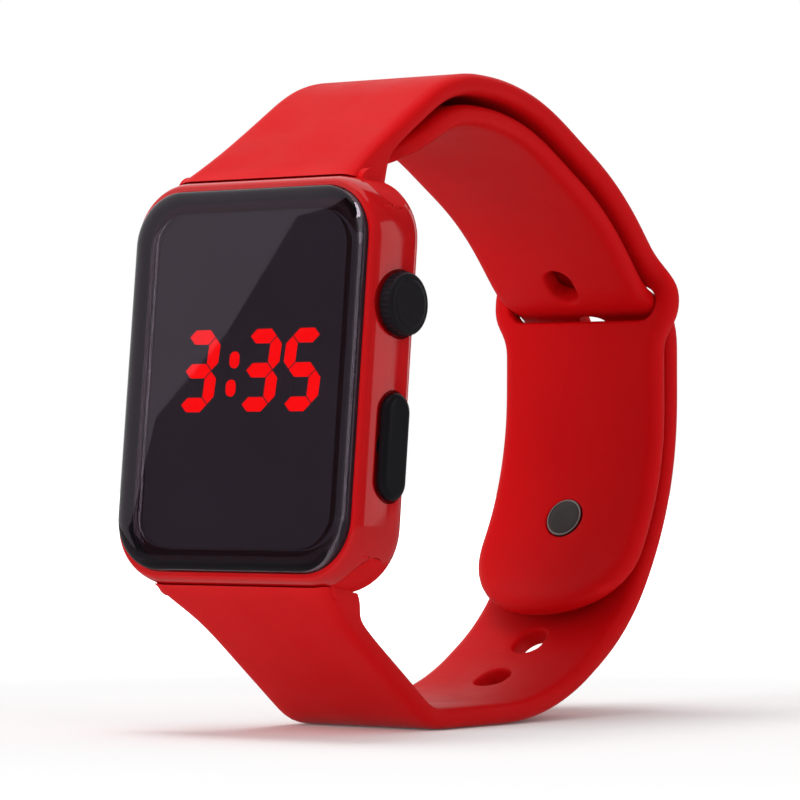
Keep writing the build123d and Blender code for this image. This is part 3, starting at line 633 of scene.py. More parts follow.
def soften(piece: bpy.types.Object, width: float, sharp_deg: float = 32.0) -> None:
    """Rounds a piece's sharp edges a little.

    Args:
        piece: What is rounded.
        width: Width of the rounding, in millimetres.
        sharp_deg: Edges that turn more than this are rounded.
    """
    bevel = piece.modifiers.new("soft edges", "BEVEL")
    bevel.width = width * METRES
    bevel.segments = 2
    bevel.limit_method = "ANGLE"
    bevel.angle_limit = math.radians(sharp_deg)
    bevel.use_clamp_overlap = True
    weigh = piece.modifiers.new("flat faces", "WEIGHTED_NORMAL")
    weigh.keep_sharp = True
    settle(piece)


def rounded_ring(half_x: float, half_y: float, radius: float, z: float,
                 steps: int = 14) -> list[tuple[float, float, float]]:
    """Points of a rounded rectangle at one height.

    Args:
        half_x: Half its width.
        half_y: Half its length.
        radius: Radius of its corners.
        z: Its height.
        steps: Divisions of each corner.

    Returns:
        The points in order.
    """
    ring = []
    for quarter, (sx, sy) in enumerate(((1, 1), (-1, 1), (-1, -1), (1, -1))):
        for i in range(steps + 1):
            angle = math.radians(90 * quarter + 90 * i / steps)
            ring.append((sx * (half_x - radius) + radius * math.cos(angle),
                         sy * (half_y - radius) + radius * math.sin(angle), z))
    return ring


def stadium_ring(length: float, width: float, z: float, steps: int = 20,
                 ) -> list[tuple[float, float, float]]:
    """Points of a long round-ended outline at one height.

    Args:
        length: Whole length along local X.
        width: Whole width along local Y.
        z: Its height.
        steps: Divisions of each round end.

    Returns:
        The points in order.
    """
    run, radius = (length - width) / 2, width / 2
    return [(sign * run + radius * math.cos(a), radius * math.sin(a), z)
            for sign, base in ((1, -90), (-1, 90))
            for a in (math.radians(base + 180 * i / steps) for i in range(steps + 1))]


def dress(piece: bpy.types.Object, body: Body, slot: str, *nodes: str) -> None:
    """Lets a finished piece ride on its body and stand for its CAD nodes.

    Args:
        piece: The piece.
        body: The body that it moves with.
        slot: Not used.
        nodes: CAD nodes that it stands for.
    """
    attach(piece, body.value)
    if nodes:
        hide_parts(*nodes)
    LOG.info("%s: %d faces", piece.name, len(piece.data.polygons))


def cover_node(name: str, finish: Finish) -> None:
    """Gives a CAD node that stays its finish.

    Args:
        name: The node.
        finish: What covers it.
    """
    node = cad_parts[name]
    node.data.materials.clear()
    node.data.materials.append(finish.material())
    LOG.info("%s: kept from the frame", name)


@dataclass
class WatchCase:
    """The moulded case with its lens seat, strap grooves and side pockets."""

    dial: DialFrame
    half_width: float = 17.0
    half_length: float = 22.2
    corner: float = 7.0
    front: float = -0.5
    back: float = -9.0
    rim_edge: float = 1.2
    back_edge: float = 2.6
    side_reach: float = 5.5
    seat: tuple[float, float, float] = (15.67, 20.62, 5.92)
    seat_depth: float = -1.9
    window: tuple[float, float, float] = (13.2, 18.15, 4.0)
    ledge_back: float = -2.9
    cavity: tuple[float, float, float] = (14.7, 17.4, 3.0)
    cover: tuple[float, float, float] = (15.7, 19.3, 5.0)
    cover_seat: float = -8.0
    boss_places: tuple[float, float] = (12.6, 15.3)
    boss_radius: float = 1.8
    groove_inset: float = 1.45
    groove_z: float = -4.7
    groove_radius: float = 2.26
    crown_place: Point2 = (8.3, -4.9)
    crown_pocket: Point2 = (3.7, 0.9)
    button_place: Point2 = (-6.8, -4.9)
    button_pocket: tuple[float, float, float] = (12.0, 4.8, 0.8)
    bore_radius: float = 0.9
    seal_pocket: Point2 = (1.51, 0.71)
    wall_inside: float = 14.7
    overrun: float = 1.0
    post_overrun: float = 0.1
    edge_round: float = 0.13
    rim_steps: int = 18
    back_steps: int = 12
    groove_steps: int = 72
    post_steps: int = 40

    def _outside(self) -> Shape:
        """Gives the case's outer form, rounded in front and behind."""
        rim = [(self.rim_edge * (sine - 1), self.front - self.side_reach * (1 - cosine))
               for sine, cosine in quarter(self.rim_steps)]
        low = self.back + self.back_edge
        rim += [(self.back_edge * (cosine - 1), low - self.back_edge * sine)
                for sine, cosine in quarter(self.back_steps)]
        shape = Shape()
        shape.loft([rounded_ring(self.half_width + out, self.half_length + out,
                                 self.corner + out, z) for out, z in rim])
        return shape

    def _pit(self, outline: tuple[float, float, float], low: float, high: float,
             ) -> bpy.types.Object:
        """Makes a cutter with a rounded rectangle's outline.

        Args:
            outline: Half width, half length and corner radius.
            low: Where it starts.
            high: Where it ends.

        Returns:
            The cutter.
        """
        shape = Shape()
        shape.loft([rounded_ring(*outline, low), rounded_ring(*outline, high)])
        return shape.piece("cutter", self.dial.matrix(), CASE_GLOSS)

    def _drill(self, place: Point2, radius: float, start: float, end: float,
               ) -> bpy.types.Object:
        """Makes a round cutter through the crown side's wall.

        Args:
            place: Height and depth on the dial.
            radius: Its radius.
            start: X where it starts.
            end: X where it ends.

        Returns:
            The cutter.
        """
        shape = Shape()
        shape.loft([stadium_ring(2 * radius, 2 * radius - 1e-4, start),
                    stadium_ring(2 * radius, 2 * radius - 1e-4, end)])
        return shape.piece("cutter", self.dial.side(*place), CASE_GLOSS)

    def _groove(self, sign: int) -> bpy.types.Object:
        """Makes the cutter of a strap's groove.

        Args:
            sign: 1 at twelve o'clock, -1 at six.

        Returns:
            The cutter.
        """
        shape = Shape()
        reach = self.half_width + self.overrun
        ring = circle(self.groove_radius, self.groove_steps,
                      sign * (self.half_length - self.groove_inset), self.groove_z)
        shape.loft([[(x, y, z) for y, z in ring] for x in (-reach, reach)])
        return shape.piece("cutter", self.dial.matrix(), CASE_GLOSS)

    def _hollow(self) -> bpy.types.Object:
        """Makes the cavity's cutter, which leaves the four screw bosses standing."""
        hollow = self._pit(self.cavity, self.back - self.overrun, self.ledge_back)
        ends = (self.back - 2 * self.overrun, self.ledge_back + self.post_overrun)
        x, y = self.boss_places
        posts = []
        for place in ((-x, -y), (-x, y), (x, -y), (x, y)):
            ring = circle(self.boss_radius, self.post_steps, *place)
            post = Shape()
            post.loft([[(*point, z) for point in ring] for z in ends])
            posts.append(post.piece("post", self.dial.matrix(), CASE_GLOSS))
        carve(hollow, posts)
        return hollow

    def build(self) -> None:
        """Makes the case and dresses it."""
        case = self._outside().piece("case_shell", self.dial.matrix(), CASE_GLOSS)
        wide, tall, deep = self.button_pocket
        pocket = Shape()
        pocket.loft([stadium_ring(wide, tall, self.half_width - deep),
                     stadium_ring(wide, tall, self.half_width + self.overrun)])
        outside, inside = self.half_width + self.overrun, self.wall_inside - self.overrun
        crown_floor = self.half_width - self.crown_pocket[1]
        button_floor = self.half_width - deep
        carve(case, [
            self._pit(self.seat, self.seat_depth, self.overrun),
            self._pit(self.window, self.ledge_back - self.overrun / 2, self.overrun),
            self._hollow(),
            self._pit(self.cover, self.back - self.overrun, self.cover_seat),
            self._groove(1), self._groove(-1),
            self._drill(self.crown_place, self.crown_pocket[0], crown_floor, outside),
            self._drill(self.crown_place, self.seal_pocket[0],
                        crown_floor - self.seal_pocket[1], outside),
            self._drill(self.crown_place, self.bore_radius, inside, outside),
            pocket.piece("cutter", self.dial.side(*self.button_place), CASE_GLOSS),
            self._drill(self.button_place, self.seal_pocket[0],
                        button_floor - self.seal_pocket[1], outside),
            self._drill(self.button_place, self.bore_radius, inside, outside)])
        smooth(case, 32.0)
        soften(case, self.edge_round)
        dress(case, Body.WATCH, "red_case", "case_body")


@dataclass
class FrontLens:
    """The tinted lens: flat in the middle, curved down at its border."""

    dial: DialFrame
    half_width: float = 15.55
    half_length: float = 20.5
    corner: float = 5.8
    crown: float = 0.9
    skirt: float = 1.7
    border_width: float = 1.9
    border_drop: float = 0.95
    bottom_edge: float = 0.12
    pocket: tuple[float, float, float] = (13.1, 18.05, 3.9)
    pocket_depth: float = 0.9
    steps: int = 14
    corner_steps: int = 18
    sharp_deg: float = 50.0

    def build(self) -> None:
        """Makes the lens and dresses it."""
        low = -self.skirt
        rim = [(self.border_width * (sine - 1), self.crown - self.border_drop * (1 - cosine))
               for sine, cosine in quarter(self.steps)]
        rim += [(0.0, low + self.bottom_edge), (-self.bottom_edge, low)]
        rings = [rounded_ring(self.half_width + out, self.half_length + out,
                              self.corner + out, z, self.corner_steps) for out, z in rim]
        rings += [rounded_ring(*self.pocket, z, self.corner_steps)
                  for z in (low, low + self.pocket_depth)]
        shape = Shape()
        shape.loft(rings)
        lens = shape.piece("front_lens_glass", self.dial.matrix(), LENS_TINT, self.sharp_deg)
        dress(lens, Body.WATCH, "lens_glass", "front_lens")


@dataclass
class Display:
    """The black mask and the light guides behind the lens, which show 3:35."""

    def build(self) -> None:
        """Dresses the display's nodes."""
        # The mask and the unlit guides carry a painted glow; only the lit guides are lamps.
        for name, finish in (("segment_mask", MASK_BLACK_PAINTED_GLOW), ("lit_segments", LIT_GUIDE),
                             ("dark_segments", DARK_GUIDE_PAINTED_GLOW), ("lens_adhesive", ADHESIVE)):
            cover_node(name, finish)


class GeometryTree:
    """A geometry node tree built step by step, with named inputs."""

    def __init__(self, name: str) -> None:
        """Starts an empty tree.

        Args:
            name: What the tree makes.
        """
        self.tree = bpy.data.node_groups.new(name, "GeometryNodeTree")
        self.sockets: dict[str, str] = {}
        self.tree.interface.new_socket(
            "Geometry", in_out="INPUT", socket_type="NodeSocketGeometry")
        self.tree.interface.new_socket(
            "Geometry", in_out="OUTPUT", socket_type="NodeSocketGeometry")
        self.given = self.tree.nodes.new("NodeGroupInput")
        self.put = self.tree.nodes.new("NodeGroupOutput")

    def ask(self, name: str, kind: str) -> None:
        """Adds a named input.

        Args:
            name: The input's name.
            kind: Its socket type.
        """
        socket = self.tree.interface.new_socket(name, in_out="INPUT", socket_type=kind)
        self.sockets[name] = socket.identifier

    def node(self, kind: str, **links: object) -> bpy.types.Node:
        """Adds a node with its inputs linked or set.

        Args:
            kind: The node's type.
            links: Inputs by name with underscores for spaces; a socket is linked, the name
                of an input as text in angle brackets is linked to it, and a value is set.

        Returns:
            The node.
        """
        made = self.tree.nodes.new(kind)
        for name, value in links.items():
            if isinstance(value, str) and value.startswith("<"):
                value = self.given.outputs[value[1:-1]]
            feed(self.tree, made, {name.replace("_", " "): value})
        return made

    def sweep(self, curve: bpy.types.Node, radius: str, **links: object) -> bpy.types.Node:
        """Sweeps a round section along a curve.

        Args:
            curve: The node with the curve.
            radius: The input with the section's radius, in angle brackets.
            links: Further inputs of the sweep.

        Returns:
            The node with the mesh.
        """
        section = self.node("GeometryNodeCurvePrimitiveCircle", Resolution=8, Radius=radius)
        return self.node("GeometryNodeCurveToMesh", Curve=curve.outputs["Curve"],
                         Profile_Curve=section.outputs["Curve"], Fill_Caps=True, **links)

    def finish(self, geometry: bpy.types.NodeSocket) -> None:
        """Ends the tree in real geometry with its material.

        Args:
            geometry: What the tree made.
        """
        self.ask("Material", "NodeSocketMaterial")
        real = self.node("GeometryNodeRealizeInstances", Geometry=geometry)
        shaded = self.node("GeometryNodeSetShadeSmooth", Geometry=real.outputs["Geometry"])
        covered = self.node("GeometryNodeSetMaterial", Geometry=shaded.outputs["Geometry"],
                            Material="<Material>")
        self.tree.links.new(covered.outputs["Geometry"], self.put.inputs["Geometry"])

    def grow(self, name: str, place: Matrix, finish: Finish, **values: object,
             ) -> bpy.types.Object:
        """Makes a plain mesh piece from the tree.

        Args:
            name: The piece's name.
            place: From the tree's millimetres to the row frame's.
            finish: What covers it.
            values: The tree's inputs by name with underscores for spaces.

        Returns:
            The piece.
        """
        made = add_object(name, bpy.data.meshes.new(name))
        modifier = made.modifiers.new("form", "NODES")
        modifier.node_group = self.tree
        for key, value in values.items():
            modifier[self.sockets[key.replace("_", " ")]] = value
        modifier[self.sockets["Material"]] = finish.material()
        settle(made)
        weld(made.data, place)
        smooth(made, 40.0)
        return made


def rib_tree() -> GeometryTree:
    """Builds the tree of a ring of rounded ribs along Z.

    Returns:
        A tree with Ribs, Ring Radius, Rib Radius, Start and Length.
    """
    tree = GeometryTree("ring of ribs")
    tree.ask("Ribs", "NodeSocketInt")
    for name in ("Ring Radius", "Rib Radius", "Start", "Length"):
        tree.ask(name, "NodeSocketFloat")
    ring = tree.node("GeometryNodeMeshCircle", Vertices="<Ribs>", Radius="<Ring Radius>")
    low = tree.node("ShaderNodeCombineXYZ", Z="<Start>")
    end = reckon(tree.tree, "ADD", tree.given.outputs["Start"], tree.given.outputs["Length"])
    high = tree.node("ShaderNodeCombineXYZ", Z=end.outputs[0])
    line = tree.node("GeometryNodeCurvePrimitiveLine", Start=low.outputs[0],
                     End=high.outputs[0])
    fine = tree.node("GeometryNodeResampleCurve", Curve=line.outputs["Curve"], Count=7)
    along = tree.node("GeometryNodeSplineParameter")
    slope = tree.node("ShaderNodeFloatCurve", Value=along.outputs["Factor"])
    curve = slope.mapping.curves[0]
    curve.points[0].location = (0.0, 0.05)
    curve.points[1].location = (1.0, 0.05)
    for at in (0.18, 0.82):
        curve.points.new(at, 1.0)
    slope.mapping.update()
    shaped = tree.node("GeometryNodeSetCurveRadius", Curve=fine.outputs["Curve"],
                       Radius=slope.outputs[0])
    swept = tree.sweep(shaped, "<Rib Radius>", Scale=slope.outputs[0])
    spread = tree.node("GeometryNodeInstanceOnPoints", Points=ring.outputs["Mesh"],
                       Instance=swept.outputs["Mesh"])
    tree.finish(spread.outputs["Instances"])
    return tree


def coil_tree() -> GeometryTree:
    """Builds the tree of a coil spring along Z.

    Returns:
        A tree with Turns, Coil Radius, Wire Radius and Length.
    """
    tree = GeometryTree("coil spring")
    for name in ("Turns", "Coil Radius", "Wire Radius", "Length"):
        tree.ask(name, "NodeSocketFloat")
    coil = tree.node("GeometryNodeCurveSpiral", Resolution=28, Rotations="<Turns>",
                     Height="<Length>", Start_Radius="<Coil Radius>",
                     End_Radius="<Coil Radius>")
    tree.finish(tree.sweep(coil, "<Wire Radius>").outputs["Mesh"])
    return tree


@dataclass
class Crown:
    """The turning crown with its ribs, its stem and its return spring."""

    dial: DialFrame
    place: Point2 = (8.3, -4.9)
    foot: float = 16.75
    thickness: float = 1.65
    radius: float = 3.45
    rib_depth: float = 0.16
    ribs: int = 36
    edge: float = 0.45
    face_radius: float = 2.5
    face_rise: float = 0.14
    dome: float = 0.05
    spring_well: float = 1.1
    spring_mean: float = 1.725
    spring_room: float = 0.40
    wire_radius: float = 0.2
    wall: float = 16.1
    spring_turns: float = 3.0
    stem_radius: float = 0.85
    stem_socket: float = 1.2
    lip: float = 0.05
    travel: float = 0.5

    def _profile(self) -> list[Point2]:
        """Gives radius and height of the cap, from the middle of its face to its socket."""
        body = self.radius - self.rib_depth * 0.75
        top = self.thickness
        line: list[Point2] = [(0.0, top + self.face_rise)]
        for r in (0.6, 1.2, 1.8, 2.3, self.face_radius - 0.12):
            drop = self.dome * (r / self.face_radius) ** 2
            line.append((r, top + self.face_rise - drop))
        line += [(self.face_radius - 0.04, top + self.face_rise - self.dome - 0.02),
                 (self.face_radius + 0.02, top + 0.05), (self.face_radius + 0.10, top)]
        line += [(body - self.edge * (1 - sine), top - self.edge * (1 - cosine))
                 for sine, cosine in quarter(8)]
        line += [(body, 0.5 * (top - self.edge)), (body, 0.16), (body - 0.06, 0.04),
                 (body - 0.16, 0.0)]
        well = (self.spring_mean + self.spring_room, self.spring_mean - self.spring_room)
        line += [(well[0] + self.lip, 0.0), (well[0], self.lip), (well[0], self.spring_well),
                 (well[1], self.spring_well), (well[1], self.lip), (well[1] - self.lip, 0.0),
                 (self.stem_radius + self.lip, 0.0), (self.stem_radius, self.lip),
                 (self.stem_radius, self.stem_socket), (0.0, self.stem_socket)]
        return line

    def build(self) -> None:
        """Makes and dresses the cap, its ribs, the spring and what holds the stem."""
        seat = self.dial.side(*self.place) @ Matrix.Translation((0.0, 0.0, self.foot))
        cap = Shape()
        cap.turn(self._profile(), 144)
        piece = cap.piece("crown_cap", seat, CROWN_BLACK, 45.0)
        dress(piece, Body.CROWN_WHEEL, "crown_metal", "crown")
        ribs = rib_tree().grow(
            "crown_ribs", seat, CROWN_BLACK, Ribs=self.ribs,
            Ring_Radius=self.radius - self.rib_depth, Rib_Radius=self.rib_depth,
            Start=0.18, Length=self.thickness - self.edge * 0.75 - 0.22)
        dress(ribs, Body.CROWN_WHEEL, "crown_metal")
        length = self.foot + self.spring_well - self.wall
        coil = coil_tree().grow(
            "crown_coil", self.dial.side(*self.place)
            @ Matrix.Translation((0.0, 0.0, self.wall + self.wire_radius)), SPRING_STEEL,
            Turns=self.spring_turns, Coil_Radius=self.spring_mean,
            Wire_Radius=self.wire_radius, Length=length - 2 * self.wire_radius)
        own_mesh(coil)
        dress(coil, Body.WATCH, "spring_steel", "crown_spring")
        cover_node("crown_stem", STUD_STEEL)
        cover_node("crown_seal", SEAL_RUBBER)
        cover_node("crown_clip", SPRING_STEEL)


@dataclass
class SideButton:
    """The long button with its post and its two return springs."""

    dial: DialFrame
    place: Point2 = (-6.8, -4.9)
    floor: float = 16.2
    foot: float = 16.82
    outer: float = 17.9
    length: float = 11.4
    width: float = 4.2
    edge: float = 0.8
    edge_drop: float = 0.55
    spread: float = 3.5
    spring_mean: float = 0.75
    wire_radius: float = 0.13
    well: float = 0.5
    well_radius: float = 1.07
    spring_turns: float = 3.0
    travel: float = 0.5
    plunger_end: float = 13.4
    post_radius: float = 0.8
    post_edge: float = 0.1
    clip_groove: Point2 = (0.75, 0.3)
    foot_edge: float = 0.15
    overlap: float = 0.1
    end_steps: int = 24

    def _cap(self) -> Shape:
        """Gives the button's cap, which falls off softly at its border."""
        low = self.outer - self.edge_drop
        levels = [(2 * self.foot_edge, self.foot), (0.0, self.foot + self.foot_edge)]
        levels += [(2 * self.edge * (1 - cosine), low + self.edge_drop * sine)
                   for sine, cosine in quarter(9)]
        shape = Shape()
        shape.loft([stadium_ring(self.length - shrink, self.width - shrink, z, self.end_steps)
                    for shrink, z in levels])
        return shape

    def build(self) -> None:
        """Makes and dresses the cap, the springs, and the post with its seal and clip."""
        side = self.dial.side(*self.place)
        cap = self._cap().piece("button_cap", side, BUTTON_BLACK, 45.0)
        wells = []
        for sign in (-1, 1):
            well = Shape()
            low, high = self.foot - self.overlap, self.foot + self.well
            well.turn([(0.0, low), (self.well_radius, low), (self.well_radius, high),
                       (0.0, high)], 32)
            wells.append(well.piece("cutter", side @ Matrix.Translation(
                (sign * self.spread, 0.0, 0.0)), BUTTON_BLACK))
        carve(cap, wells)
        post = Shape()
        groove, size = self.plunger_end + self.clip_groove[0], self.clip_groove[1]
        r, top = self.post_radius, self.foot + self.overlap
        post.turn([(0.0, self.plunger_end), (r - self.post_edge, self.plunger_end),
                   (r, self.plunger_end + self.post_edge), (r, groove), (r - size, groove),
                   (r - size, groove + size), (r, groove + size), (r, top), (0.0, top)], 48)
        stem = post.piece("button_post", side, BUTTON_BLACK, 40.0)
        dress(cap, Body.BUTTON_SLIDER, "button_metal", "side_button")
        dress(stem, Body.BUTTON_SLIDER, "button_metal")
        length = self.foot + self.well - self.floor
        for index, sign in enumerate((-1, 1)):
            coil = coil_tree().grow(
                f"button_coil_{index + 1}", side @ Matrix.Translation(
                    (sign * self.spread, 0.0, self.floor + self.wire_radius)),
                SPRING_STEEL, Turns=self.spring_turns, Coil_Radius=self.spring_mean,
                Wire_Radius=self.wire_radius, Length=length - 2 * self.wire_radius)
            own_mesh(coil)
            dress(coil, Body.WATCH, "spring_steel", *(["button_springs"] if index == 0 else []))
        cover_node("button_seal", SEAL_RUBBER)
        cover_node("button_clip", SPRING_STEEL)


@dataclass
class RunLine:
    """A band's middle line in the YZ plane, sampled evenly, straight beyond its ends."""

    points: np.ndarray
    sense: Sense

    def __post_init__(self) -> None:
        """Works out the lengths, the directions and the outward normals."""
        steps = np.linalg.norm(np.diff(self.points, axis=0), axis=1)
        self.lengths = np.concatenate(([0.0], np.cumsum(steps)))
        along = np.gradient(self.points, self.lengths, axis=0)
        along /= np.linalg.norm(along, axis=1)[:, None]
        self.along = along
        self.normals = self.sense.value * np.stack((along[:, 1], -along[:, 0]), axis=1)

    @property
    def length(self) -> float:
        """The line's whole length."""
        return float(self.lengths[-1])

    def at(self, s: np.ndarray) -> tuple[np.ndarray, np.ndarray]:
        """Gives points and outward normals.

        Args:
            s: Distances along the line; below zero it runs on straight.

        Returns:
            The points and the normals, as rows of Y and Z.
        """
        inside = np.clip(s, 0.0, self.length)
        point = np.stack([np.interp(inside, self.lengths, self.points[:, k])
                          for k in (0, 1)], axis=-1)
        normal = np.stack([np.interp(inside, self.lengths, self.normals[:, k])
                           for k in (0, 1)], axis=-1)
        normal /= np.linalg.norm(normal, axis=-1)[..., None]
        beyond = (s - inside)[..., None]
        first = np.where((s < 0)[..., None], self.along[0], self.along[-1])
        return point + beyond * first, normal

    def reach_of(self, value: float, axis: int, start: float = 0.0) -> float:
        """Finds where the line passes a height or a depth.

        Args:
            value: Y or Z in millimetres.
            axis: 0 for Y, 1 for Z.
            start: Distance along the line before which nothing is looked at.

        Returns:
            The distance along the line.
        """
        use = self.lengths >= start
        gap = self.points[use, axis] - value
        crossing = np.nonzero(np.diff(np.sign(gap)) != 0)[0]
        index = int(crossing[0]) if len(crossing) else int(np.argmin(np.abs(gap)))
        base = int(np.nonzero(use)[0][0]) + index
        a, b = self.points[base, axis], self.points[min(base + 1, len(self.points) - 1), axis]
        share = 0.0 if a == b else (value - a) / (b - a)
        return float(self.lengths[base] + min(max(share, 0.0), 1.0)
                     * (self.lengths[min(base + 1, len(self.lengths) - 1)]
                        - self.lengths[base]))


@dataclass
class BandLoop:
    """The closed loop that both straps follow, from its corners seen from the side."""

    dial: DialFrame
    depth: float = 70.2
    height: float = 72.5
    setback: float = 28.495
    exit_y: float = 22.2
    exit_z: float = -2.1
    thickness: float = 2.4
    pad_gap: float = 1.5
    tongue_gap: float = 1.0
    corner_shares: tuple[Point2, ...] = (
        (0.299, 0.0), (0.6331, 0.0), (0.8644, 0.1361), (1.0, 0.3626), (1.0, 0.6537),
        (0.816, 0.8481), (0.5532, 0.9924), (0.3444, 1.0))
    bend_shares: tuple[float, ...] = (0.059, 0.477, 0.384, 0.535, 0.394, 0.332, 0.534, 0.364)
    hole_swap: float = 0.27
    pin_swap: float = 0.26
    cross_bends: tuple[float, float, float, float] = (0.45, 0.25, 0.3, 0.35)
    pin_end: float = 0.42
    tongue_end: float = 0.66
    smooth_length: float = 5.0
    sample: float = 0.25
    arc_steps: int = 24

    def corners(self) -> list[np.ndarray]:
        """Gives the corners of the outer surface, from six o'clock round to twelve."""
        run = [np.array((d * self.depth - self.setback, h * self.height))
               for d, h in self.corner_shares]
        run.insert(0, np.array(self.dial.across(-self.exit_y, self.exit_z)))
        run.append(np.array(self.dial.across(self.exit_y, self.exit_z)))
        return run

    @staticmethod
    def inset(corners: Sequence[np.ndarray], depth: float) -> list[np.ndarray]:
        """Moves a line of straight runs towards the wrist.

        Args:
            corners: The line.
            depth: How far it moves.

        Returns:
            The moved corners.
        """
        moved = []
        for i, corner in enumerate(corners):
            near = corners[max(i - 1, 0):i + 2]
            ways = [(q - p) / np.linalg.norm(q - p) for p, q in zip(near, near[1:])]
            middle = ways[0] + ways[-1]
            middle /= np.linalg.norm(middle)
            inward = np.array((-middle[1], middle[0]))
            moved.append(corner + inward * depth / float(middle @ ways[0]))
        return moved

    @staticmethod
    def _turn(before: np.ndarray, corner: np.ndarray, after: np.ndarray,
              ) -> tuple[float, float, float]:
        """Gives the lengths of the runs beside a corner and its turn in radians."""
        a, b = corner - before, after - corner
        la, lb = float(np.linalg.norm(a)), float(np.linalg.norm(b))
        return la, lb, math.acos(max(-1.0, min(1.0, float(a @ b) / la / lb)))

    def radii(self, corners: Sequence[np.ndarray], shares: Sequence[float]) -> list[float]:
        """Gives the radius at each inner corner.

        Args:
            corners: The line.
            shares: Share of the shorter run that each bend takes.

        Returns:
            The radii.
        """
        made = []
        for i, share in enumerate(shares):
            la, lb, turn = self._turn(corners[i], corners[i + 1], corners[i + 2])
            made.append(share * min(la, lb) / math.tan(turn / 2))
        return made

    def line(self, corners: Sequence[np.ndarray], radii: Sequence[float], sense: Sense,
             even: bool = True) -> RunLine:
        """Rounds a line's corners and samples it.

        Args:
            corners: The line.
            radii: The radius at each inner corner.
            sense: Which way it runs.
            even: Whether its bends also start and end softly.

        Returns:
            The sampled line.
        """
        path = [corners[0]]
        for i, radius in enumerate(radii):
            corner = corners[i + 1]
            la, lb, turn = self._turn(corners[i], corner, corners[i + 2])
            cut = radius * math.tan(turn / 2)
            start = corner + (corners[i] - corner) / la * cut
            end = corner + (corners[i + 2] - corner) / lb * cut
            way, onward = (corner - corners[i]) / la, (corners[i + 2] - corner) / lb
            side = math.copysign(1.0, way[0] * onward[1] - way[1] * onward[0])
            centre = start + side * radius * np.array((-way[1], way[0]))
            arm = start - centre
            for k in range(self.arc_steps + 1):
                a = side * turn * k / self.arc_steps
                path.append(centre + np.array((
                    arm[0] * math.cos(a) - arm[1] * math.sin(a),
                    arm[0] * math.sin(a) + arm[1] * math.cos(a))))
            path[-1] = end
        path.append(corners[-1])
        rough = np.array(path)
        run = np.concatenate(([0.0], np.cumsum(np.linalg.norm(np.diff(rough, axis=0), axis=1))))
        count = int(run[-1] / self.sample) + 1
        s = np.linspace(0.0, run[-1], count)
        fine = np.stack([np.interp(s, run, rough[:, k]) for k in (0, 1)], axis=1)
        if not even:
            return RunLine(fine, sense)
        pad = int(self.smooth_length / self.sample)
        first, last = fine[1] - fine[0], fine[-1] - fine[-2]
        long = np.concatenate((
            fine[0] - first * np.arange(pad, 0, -1)[:, None], fine,
            fine[-1] + last * np.arange(1, pad + 1)[:, None]))
        kernel = np.bartlett(pad + 3)[1:-1]
        kernel /= kernel.sum()
        soft = np.stack([np.convolve(long[:, k], kernel, "same") for k in (0, 1)], axis=1)
        return RunLine(soft[pad:len(soft) - pad], sense)

    def _layers(self, gap: float) -> tuple[list[np.ndarray], list[np.ndarray],
                                           list[float], float]:
        """Gives the corners outside and inside, the radii outside, and the step inwards."""
        corners = self.corners()
        outer = self.inset(corners, self.thickness / 2)
        inner = self.inset(corners, self.thickness * 1.5 + gap)
        return outer, inner, self.radii(outer, self.bend_shares), self.thickness + gap

    def hole_line(self, even: bool = True) -> RunLine:
        """Gives the hole strap's middle line: outside at the back, inside above the slot."""
        outer, inner, radii, pitch = self._layers(self.tongue_gap)
        run = [*outer[:6], inner[5] + (inner[6] - inner[5]) * self.hole_swap, *inner[6:9],
               inner[8] + (inner[9] - inner[8]) * self.tongue_end]
        bends = [*radii[:4], *self.radii(run[4:8], self.cross_bends[:2]),
                 *[r - pitch for r in radii[5:8]]]
        return self.line(run, bends, Sense.FROM_BELOW, even)

    def pin_line(self, even: bool = True) -> RunLine:
        """Gives the pin strap's middle line: outside above the slot, inside below it."""
        outer, inner, radii, pitch = self._layers(self.pad_gap)
        run = [outer[9], outer[8], outer[7], outer[6],
               outer[5] + (outer[6] - outer[5]) * self.pin_swap, inner[5], inner[4], inner[3],
               inner[3] + (inner[2] - inner[3]) * self.pin_end]
        bends = [*radii[:4:-1], *self.radii(run[3:7], self.cross_bends[2:]),
                 *[r - pitch for r in radii[3:1:-1]]]
        return self.line(run, bends, Sense.FROM_ABOVE, even)


def s_bend(start: Point2, end: Point2, at: float) -> float:
    """Half width on a soft step between two widths.

    Args:
        start: Half width and place where the step starts.
        end: Half width and place where it ends.
        at: Place asked for.

    Returns:
        The half width there.
    """
    t = np.linspace(0.0, 1.0, 65)
    middle = (start[1] + end[1]) / 2
    place = (start[1] * (1 - t) ** 3 + 3 * middle * (1 - t) ** 2 * t
             + 3 * middle * (1 - t) * t ** 2 + end[1] * t ** 3)
    width = start[0] + (end[0] - start[0]) * (3 * t ** 2 - 2 * t ** 3)
    if end[1] < start[1]:
        place, width = place[::-1], width[::-1]
    return float(np.interp(at, place, width))


TIP_BULGE = 0.62


def round_tip(start: Point2, end: Point2, count: int = 26) -> list[Point2]:
    """Points of a quarter of a blunt oval, from a strap's edge to its tip.

    Args:
        start: Half width and place where it starts.
        end: Zero and the place of the tip.
        count: Number of points.

    Returns:
        Pairs of half width and place.
    """
    made = []
    for t in np.linspace(0.0, 1.0, count):
        a, b, c, d = (1 - t) ** 3, 3 * (1 - t) ** 2 * t, 3 * (1 - t) * t ** 2, t ** 3
        made.append((start[0] * (a + b + TIP_BULGE * c) + end[0] * d,
                     start[1] * a + (start[1] + (end[1] - start[1]) * TIP_BULGE) * b
                     + end[1] * (c + d)))
    return made


@dataclass
class Opening:
    """A closed outline in a strap's flat pattern: a slot, a hole or a recess."""

    outline: np.ndarray
    lip: float
    through: bool = True
    depth: float = 0.0

    def grown(self, amount: float) -> np.ndarray:
        """Gives the outline moved outwards."""
        return offset_ring(self.outline, amount)


